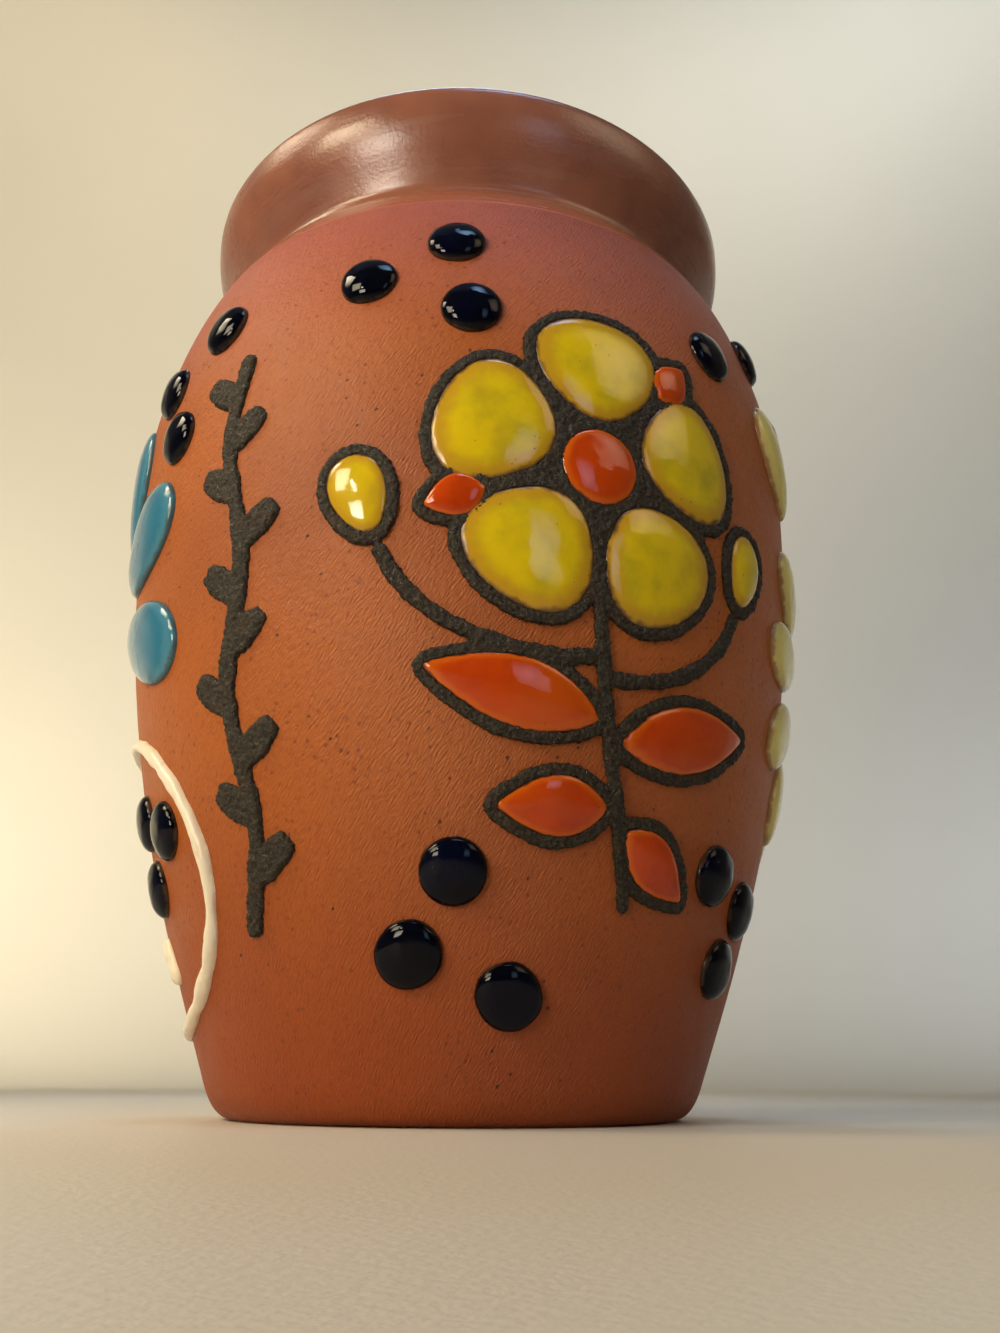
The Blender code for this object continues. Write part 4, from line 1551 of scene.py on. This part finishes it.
@dataclass
class Spray:
    """The main picture: a blossom on a leafy stem with two buds.

    A leaf is given by its share along the stem, its turn and its sizes, a branch by its
    share along the stem and its curve's further points.
    """

    deco: Decoration
    patch: Patch
    blossom: Blossom = field(default_factory=Blossom)
    bloom: tuple = (0.004, 0.022)
    stem: tuple = ((0.004, 0.022), (0.003, -0.030), (0.013, -0.050), (0.014, -0.068))
    leaves: tuple = (
        (0.50, 12, Leaf(0.0350, 0.0125)),
        (0.70, -38, Leaf(0.0185, 0.0100)),
        (0.45, 166, Leaf(0.0350, 0.0125)),
        (0.66, 182, Leaf(0.0210, 0.0106)),
    )
    sepal: Leaf = Leaf(0.0115, 0.0080)
    sepal_turns: tuple = (54, 198)
    sepal_share: float = 0.6
    bud: Egg = Egg(0.0170, 0.0125)
    branches: tuple = (
        (0.31, ((-0.012, -0.022), (-0.034, -0.014), (-0.041, 0.003))),
        (0.35, ((0.016, -0.024), (0.036, -0.018), (0.042, -0.001))),
    )
    branch_steps: int = 48
    stand_off: float = 0.0030

    def leaf_outlines(self) -> list[list[Vector]]:
        """Draws the leaves on the stem and the tips between the petals.

        Returns:
            Their outlines.
        """
        stem = [Vector(p) for p in self.stem]
        found = []
        for share, turn, leaf in self.leaves:
            foot = curve_point(stem, share) + way(turn, self.stand_off)
            found.append(turned_and_moved(leaf.outline(), turn, foot))
        start = self.blossom.foot() + self.sepal_share * self.blossom.petal.length
        for turn in self.sepal_turns:
            foot = Vector(self.bloom) + way(turn, start)
            found.append(turned_and_moved(self.sepal.outline(), turn, foot))
        return found

    def build(self) -> tuple[float, float]:
        """Builds the picture.

        Returns:
            Its reach to the left and to the right.
        """
        petals, heart = self.blossom.outlines(self.bloom)
        stem = [Vector(p) for p in self.stem]
        leaves = self.leaf_outlines()
        strokes = [self.deco.stem_line(stem)]
        buds = []
        for share, onwards in self.branches:
            branch = [curve_point(stem, share)] + [Vector(p) for p in onwards]
            strokes.append(Stroke(curve_points(branch, self.branch_steps), self.deco.stem))
            end = branch[-1] - branch[-2]
            turn = math.degrees(math.atan2(end.y, end.x))
            foot = branch[-1] + way(turn, self.stand_off)
            buds.append(turned_and_moved(self.bud.outline(), turn, foot))
        rounds = [self.deco.round_line(pool) for pool in petals + [heart] + leaves + buds]
        strokes += self.blossom.corners(self.bloom)
        self.deco.slip("spray_outline", rounds + strokes, self.patch)
        self.deco.pool("spray_heart", heart, self.patch, Slot.ORANGE)
        self.deco.pools("spray_petal", petals, self.patch, Slot.YELLOW)
        self.deco.pools("spray_leaf", leaves, self.patch, Slot.ORANGE)
        self.deco.pools("spray_bud", buds, self.patch, Slot.YELLOW)
        outer = [grown(pool, GAP + LINE) for pool in petals + leaves + buds]
        return reach(outer, -1), reach(outer, 1)


@dataclass
class Vine:
    """The black leafy vine left of the main picture."""

    deco: Decoration
    foot: float = 0.0405
    top: float = 0.16745
    to_spray: float = 0.0072
    sway: float = 0.0022
    wave: float = 0.0560
    leaves: int = 10
    stem: float = 0.0044
    stem_steps: int = 150
    leaf: SlipLeaf = SlipLeaf(0.0115, 0.0078, (-1, 0, 1), 0.30, 0.45, 16)
    leaf_edge: Leaf = Leaf(0.0115, 0.0078, 24)
    spread: float = 52

    def line(self, count: int) -> list[Vector]:
        """The swaying stem.

        Args:
            count: How many points.

        Returns:
            The points, from its foot to its top.
        """
        low, high = -(self.top - self.foot) / 2, (self.top - self.foot) / 2
        heights = [low + (high - low) * i / (count - 1) for i in range(count)]
        return [Vector((self.sway * math.sin(math.tau * y / self.wave), y)) for y in heights]

    def build(self, spray: Patch, spray_reach: float) -> tuple[Patch, float]:
        """Builds the vine.

        Args:
            spray: The main picture's patch.
            spray_reach: How far the main picture reaches to the left.

        Returns:
            The vine's patch and its reach to the left.
        """
        joints = self.line(2 * self.leaves + 3)
        edges = [[p + Vector((s * self.stem / 2, 0)) for p in joints] for s in (-1, 1)]
        strokes = [Stroke(self.line(self.stem_steps), self.stem)]
        for i, foot in enumerate(joints[2:-1:2]):
            turn = 90 + (1 if i % 2 else -1) * self.spread
            edges.append(turned_and_moved(self.leaf_edge.outline(), turn, foot))
            strokes += self.leaf.strokes(foot, turn)
        across = spray_reach + self.to_spray + reach(edges, 1)
        patch = spray.beside(-across, self.foot + (self.top - self.foot) / 2)
        self.deco.slip("vine_ornament", strokes, patch)
        return patch, reach(edges, -1)


@dataclass(frozen=True)
class Lobes:
    """Plain lobes of glaze that point away from a middle."""

    shape: Egg
    inner: float
    turns: tuple

    def reach(self) -> float:
        """How far they reach from the middle."""
        return self.inner + self.shape.length

    def outlines(self) -> list[list[Vector]]:
        """Their outlines."""
        shape = [p + Vector((self.inner, 0)) for p in self.shape.outline()]
        return [turned_and_moved(shape, turn, (0, 0)) for turn in self.turns]


@dataclass
class Sides:
    """The lobes on both sides and the white line."""

    deco: Decoration
    blue: Lobes = Lobes(Egg(0.0360, 0.0230, 56), 0.0190, (-20, 20, 60, 100, 140))
    yellow: Lobes = Lobes(Egg(0.0300, 0.0185, 56), 0.0200, (150, 180, 210, 240, 270))
    yellow_outer: Lobes = Lobes(Egg(0.0300, 0.0185, 56), 0.0525, (133,))
    fan_to_vine: float = 0.0104
    fan_rise: float = 0.1230
    loop_to_vine: float = 0.0014
    loop_rise: float = 0.0570
    loop_half: tuple = (0.0435, 0.0340)
    loop_steps: int = 220
    white_width: float = 0.0036
    white_height: float = 0.0018
    white_grain: float = 0.0004
    white_waves: tuple = (0.006, 0.0009)
    stroke: tuple = ((0.0125, -0.0235), (0.0115, -0.0195), (0.0095, -0.0155), (0.0060, -0.0130))
    stroke_steps: int = 24
    frond_to_spray: float = 0.0075
    frond_rise: float = 0.1130

    def fan(self, vine: Patch, vine_reach: float) -> Patch:
        """Builds the blue-green fan.

        Args:
            vine: The vine's patch.
            vine_reach: How far the vine reaches to the left.

        Returns:
            The fan's patch.
        """
        outlines = self.blue.outlines()
        across = vine_reach + self.fan_to_vine + reach(outlines, 1)
        patch = vine.beside(-across, self.fan_rise)
        self.deco.pools("blue_lobe", outlines, patch, Slot.BLUE_GREEN, LOBE)
        return patch

    def loop(self, vine: Patch, vine_reach: float) -> Patch:
        """Builds the white loop and the short stroke in it.

        Args:
            vine: The vine's patch.
            vine_reach: How far the vine reaches to the left.

        Returns:
            The loop's patch.
        """
        wide, high = self.loop_half
        across = vine_reach + self.loop_to_vine + self.white_width / 2 + wide
        patch = vine.beside(-across, self.loop_rise)
        line = [Vector((p.x * wide, p.y * high)) for p in disc(2, self.loop_steps)]
        short = curve_points([Vector(p) for p in self.stroke], self.stroke_steps)
        for name, stroke in (
            ("white_loop", Stroke(line, self.white_width, True, wave=0.009, waver=0.3)),
            ("white_stroke", Stroke(short, self.white_width)),
        ):
            obj = BeadMaker.flat("line_" + name, [stroke], self.white_height, self.white_grain)
            Bench.unevenness(obj, *self.white_waves)
            self.deco.lay(obj, name, patch, Slot.WHITE)
        return patch

    def frond(self, spray: Patch, spray_reach: float) -> None:
        """Builds the pale yellow lobes on the right.

        Args:
            spray: The main picture's patch.
            spray_reach: How far the main picture reaches to the right.
        """
        inner = self.yellow.outlines()
        across = spray_reach + self.frond_to_spray + reach(inner, -1)
        patch = spray.beside(across, self.frond_rise)
        lobes = inner + self.yellow_outer.outlines()
        self.deco.pools("yellow_lobe", lobes, patch, Slot.PALE_YELLOW, LOBE)


@dataclass
class BackBlossom:
    """The blossom on the back, in the other colours, on a short stem with two leaves.

    A leaf is given by its share along the stem and its turn.
    """

    deco: Decoration
    patch: Patch
    bloom: tuple = (0.0, 0.016)
    stem: tuple = ((0.0, 0.016), (-0.004, -0.030), (0.006, -0.044), (0.000, -0.058))
    leaf: SlipLeaf = SlipLeaf(0.0260, 0.0110, (-1, -0.5, 0, 0.5, 1), 0.5, 0.3, 30)
    leaves: tuple = ((0.62, 28), (0.56, 150))

    def build(self) -> None:
        """Builds the blossom."""
        petals, heart = Blossom().outlines(self.bloom)
        stem = [Vector(p) for p in self.stem]
        strokes = [self.deco.round_line(pool) for pool in petals + [heart]]
        strokes += Blossom().corners(self.bloom)
        strokes.append(self.deco.stem_line(stem))
        for share, turn in self.leaves:
            strokes += self.leaf.strokes(curve_point(stem, share), turn)
        self.deco.slip("back_outline", strokes, self.patch)
        self.deco.pool("back_heart", heart, self.patch, Slot.YELLOW)
        self.deco.pools("back_petal", petals, self.patch, Slot.ORANGE)


@dataclass
class Dots:
    """Round cobalt dots in threes.

    Three groups lie beyond a blossom or the fan, by a turn and a gap. The others lie this
    far across and up from the stem's end, or from the middle of the loop or of the back.
    """

    deco: Decoration
    width: float = 0.0132
    corners: int = 40
    waves: tuple = (0.005, 0.0004)
    top: tuple = (128.8, 0.0193)
    top_left: tuple = (40.4, 0.0162)
    top_right: tuple = (42.9, 0.0261)
    foot: tuple = (-0.0330, -0.0060)
    foot_right: tuple = (0.0343, 0.0030)
    foot_left: tuple = (0.0191, 0.0055)
    back: tuple = (-0.0365, -0.0670)
    spots: dict = field(
        default_factory=lambda: {
            "top": ((0.005, 0.0115), (-0.0140, 0.0), (0.0090, -0.0095)),
            "top_left": ((0.0110, 0.0110), (-0.0090, 0.0025), (-0.0022, -0.0132)),
            "top_right": ((-0.0140, -0.0030), (0.0150, 0.0140), (0.0345, 0.0010)),
            "foot": ((-0.0008, 0.0127), (-0.0090, -0.0028), (0.0102, -0.0105)),
            "foot_right": ((-0.0092, 0.0076), (0.0078, 0.0022), (0.0014, -0.0113)),
            "foot_left": ((-0.0058, 0.0079), (0.0093, 0.0035), (-0.0035, -0.0077)),
            "back": ((-0.0090, 0.0070), (0.0090, 0.0040), (0.0010, -0.0110)),
        }
    )

    @staticmethod
    def beyond(place: Sequence[float], edge: float) -> Vector:
        """The step from a middle to a place beyond an edge that lies this far out."""
        return way(place[0], edge + place[1])

    def build(
        self, spray: Spray, fan: Patch, fan_reach: float, loop: Patch, back: Patch
    ) -> None:
        """Builds the dots from one model.

        Args:
            spray: The main picture.
            fan: The blue-green fan's patch.
            fan_reach: How far the fan reaches from its middle.
            loop: The white loop's patch.
            back: The back blossom's patch.
        """
        picture, petals = spray.patch, spray.blossom.reach()
        bloom, stem_end = Vector(spray.bloom), Vector(spray.stem[-1])
        patches = {
            "top": picture.near(bloom + self.beyond(self.top, petals)),
            "top_left": fan.near(self.beyond(self.top_left, fan_reach)),
            "top_right": picture.near(bloom + self.beyond(self.top_right, petals)),
            "foot": picture.near(stem_end + Vector(self.foot)),
            "foot_right": picture.near(stem_end + Vector(self.foot_right)),
            "foot_left": loop.near(self.foot_left),
            "back": back.near(self.back),
        }
        model = PoolMaker.flat("dot_model", disc(self.width, self.corners), DOT)
        for group, patch in patches.items():
            for number, spot in enumerate(self.spots[group], 1):
                node = f"dot_{group}_{number}"
                obj = Bench.copy(model, "glaze_" + node)
                for vert in obj.data.vertices:
                    vert.co.xy += Vector(spot)
                self.deco.lay(obj, node, patch, Slot.COBALT, self.waves)
        bpy.data.objects.remove(model)


@dataclass(frozen=True)
class Lamp:
    """One soft rectangular light."""

    name: str
    spot: tuple
    aim: tuple
    size: tuple
    power: float
    colour: Colour
    spread: float

    def hang(self) -> None:
        """Hangs it in its place."""
        Bench.clear()
        bpy.ops.object.light_add(type="AREA", location=self.spot)
        lamp = bpy.context.object
        lamp.name = self.name
        lamp.data.shape = "RECTANGLE"
        lamp.data.size, lamp.data.size_y = self.size
        lamp.data.energy = self.power
        lamp.data.color = self.colour
        lamp.data.spread = math.radians(self.spread)
        way_out = Vector(self.aim) - Vector(self.spot)
        lamp.rotation_euler = way_out.to_track_quat("-Z", "Y").to_euler()


@dataclass
class Studio:
    """A pale floor that rises into a round backdrop, soft lights and the camera.

    A lamp is given by its name, spot, aim, size, power, colour and spread.
    """

    floor_radius: float = 2.4
    floor_sides: int = 128
    wall_height: float = 5.0
    cove_round: float = 1.7
    cove_angle: float = 1.0
    cove_edge: float = math.radians(50)
    camera_distance: float = 0.2753
    camera_height: float = 0.0092
    pitch: float = math.radians(20.78)
    yaw: float = math.radians(2.12)
    roll: float = math.radians(0.31)
    lens: float = 29.23
    room_colour: tuple = (0.8, 0.9, 1.0, 1)
    room_power: float = 0.15
    lamps: tuple = (
        ("window", (-0.66, -0.58, 0.54), (0, 0, 0.15), (0.3, 0.3), 0.63, (1, 0.85, 0.58), 70),
        ("panel", (-0.55, -0.80, 0.22), (0, 0, 0.2), (0.25, 0.2), 0.3, (1, 0.88, 0.72), 50),
        ("bulb", (-0.42, -0.62, 0.40), (0, 0, 0.08), (0.04, 0.05), 0.08, (1, 0.86, 0.68), 90),
        ("pane", (0.55, -1.15, 0.4), (0, 0, 0.12), (0.35, 0.9), 0.07, (0.5, 0.72, 1), 32),
        ("sky", (0.15, -0.35, 1.2), (0, 0, 0.22), (0.5, 0.3), 0.11, (0.36, 0.62, 1), 30),
        ("skylight", (-0.1, 1.1, 2.3), (0, 0, 0.2), (0.7, 0.7), 0.3, (0.45, 0.7, 1), 24),
        ("fill", (0.75, -0.5, 0.85), (0.04, 0, 0.2), (0.6, 0.6), 0.18, (1, 0.76, 0.52), 46),
        ("floor_left", (-0.9, -0.2, 0.9), (-0.3, -0.12, 0), (0.4, 0.4), 0.8, (1, 0.85, 0.6), 50),
        ("left_low", (-0.75, 0.1, 1), (-1.1, 2.1, 0.3), (0.8, 0.8), 18.5, (1, 0.87, 0.63), 110),
        ("left_high", (-0.8, 0.1, 3), (-1, 2.3, 2.6), (1, 1), 16, (1, 0.84, 0.58), 110),
        ("right_low", (0.9, 0.2, 0.9), (1.1, 2, 0.3), (0.8, 0.8), 6, (0.80, 0.89, 1), 110),
        ("right_high", (0.9, 0.2, 3), (1, 2.3, 3), (1, 1), 16, (0.94, 0.96, 0.92), 110),
    )

    def backdrop(self) -> None:
        """Builds the floor and the backdrop as one cove."""
        obj = Bench.circle("floor_cove", self.floor_sides, self.floor_radius)
        with Bench.editing(obj):
            Bench.extrude(0, 0, self.wall_height)
            bpy.ops.mesh.delete(type="ONLY_FACE")
        edge = {"limit_method": "ANGLE", "angle_limit": self.cove_angle}
        Bench.apply(obj, "BEVEL", {"width": self.cove_round, "segments": 32, **edge})
        Bench.smooth(obj, self.cove_edge)
        obj.data.materials.append(FloorPaint().build())

    def lights(self) -> None:
        """Hangs the lights and sets the room's own light."""
        for row in self.lamps:
            Lamp(*row).hang()
        world = bpy.data.worlds.new("room")
        world.use_nodes = True
        background = world.node_tree.nodes["Background"].inputs
        background["Color"].default_value = self.room_colour
        background["Strength"].default_value = self.room_power
        bpy.context.scene.world = world
        bpy.context.scene.view_settings.view_transform = "Standard"

    def camera(self) -> None:
        """Sets up the camera where the photograph was taken from."""
        sin, cos = math.sin(self.yaw), math.cos(self.yaw)
        level_share = math.cos(self.pitch)
        ahead = Vector((sin * level_share, cos * level_share, math.sin(self.pitch)))
        level = Vector((cos, -sin, 0))
        upright = level.cross(ahead)
        right = math.cos(self.roll) * level + math.sin(self.roll) * upright
        up = -math.sin(self.roll) * level + math.cos(self.roll) * upright
        turn = Matrix((right, up, -ahead)).transposed()
        data = bpy.data.cameras.new("camera")
        data.lens = self.lens
        data.sensor_width = 36
        data.clip_start = 0.01
        data.clip_end = 20
        obj = bpy.data.objects.new("camera", data)
        spot = Vector((0, -self.camera_distance, self.camera_height))
        obj.matrix_world = Matrix.Translation(spot) @ turn.to_4x4()
        bpy.context.scene.collection.objects.link(obj)
        bpy.context.scene.camera = obj

    def build(self) -> None:
        """Sets up the whole studio."""
        self.camera()
        self.backdrop()
        self.lights()


PICTURE_TURN = math.radians(16)
PICTURE_RISE = 0.1130
BACK_TURN = math.pi
BACK_RISE = 0.1150


def main() -> None:
    """Builds the studio, the vase and its decoration."""
    logging.basicConfig(level=logging.INFO, format="%(message)s")
    Studio().build()
    finishes = Finishes()
    form = VaseForm()
    form.build(finishes)
    deco = Decoration(finishes)
    wall = Wall(form)
    spray = Spray(deco, Patch(wall, PICTURE_TURN, PICTURE_RISE))
    left_reach, right_reach = spray.build()
    vine, vine_reach = Vine(deco).build(spray.patch, left_reach)
    sides = Sides(deco)
    sides.frond(spray.patch, right_reach)
    fan = sides.fan(vine, vine_reach)
    loop = sides.loop(vine, vine_reach)
    back = BackBlossom(deco, Patch(wall, BACK_TURN, BACK_RISE))
    back.build()
    Dots(deco).build(spray, fan, sides.blue.reach(), loop, back.patch)


if __name__ == "__main__":
    main()
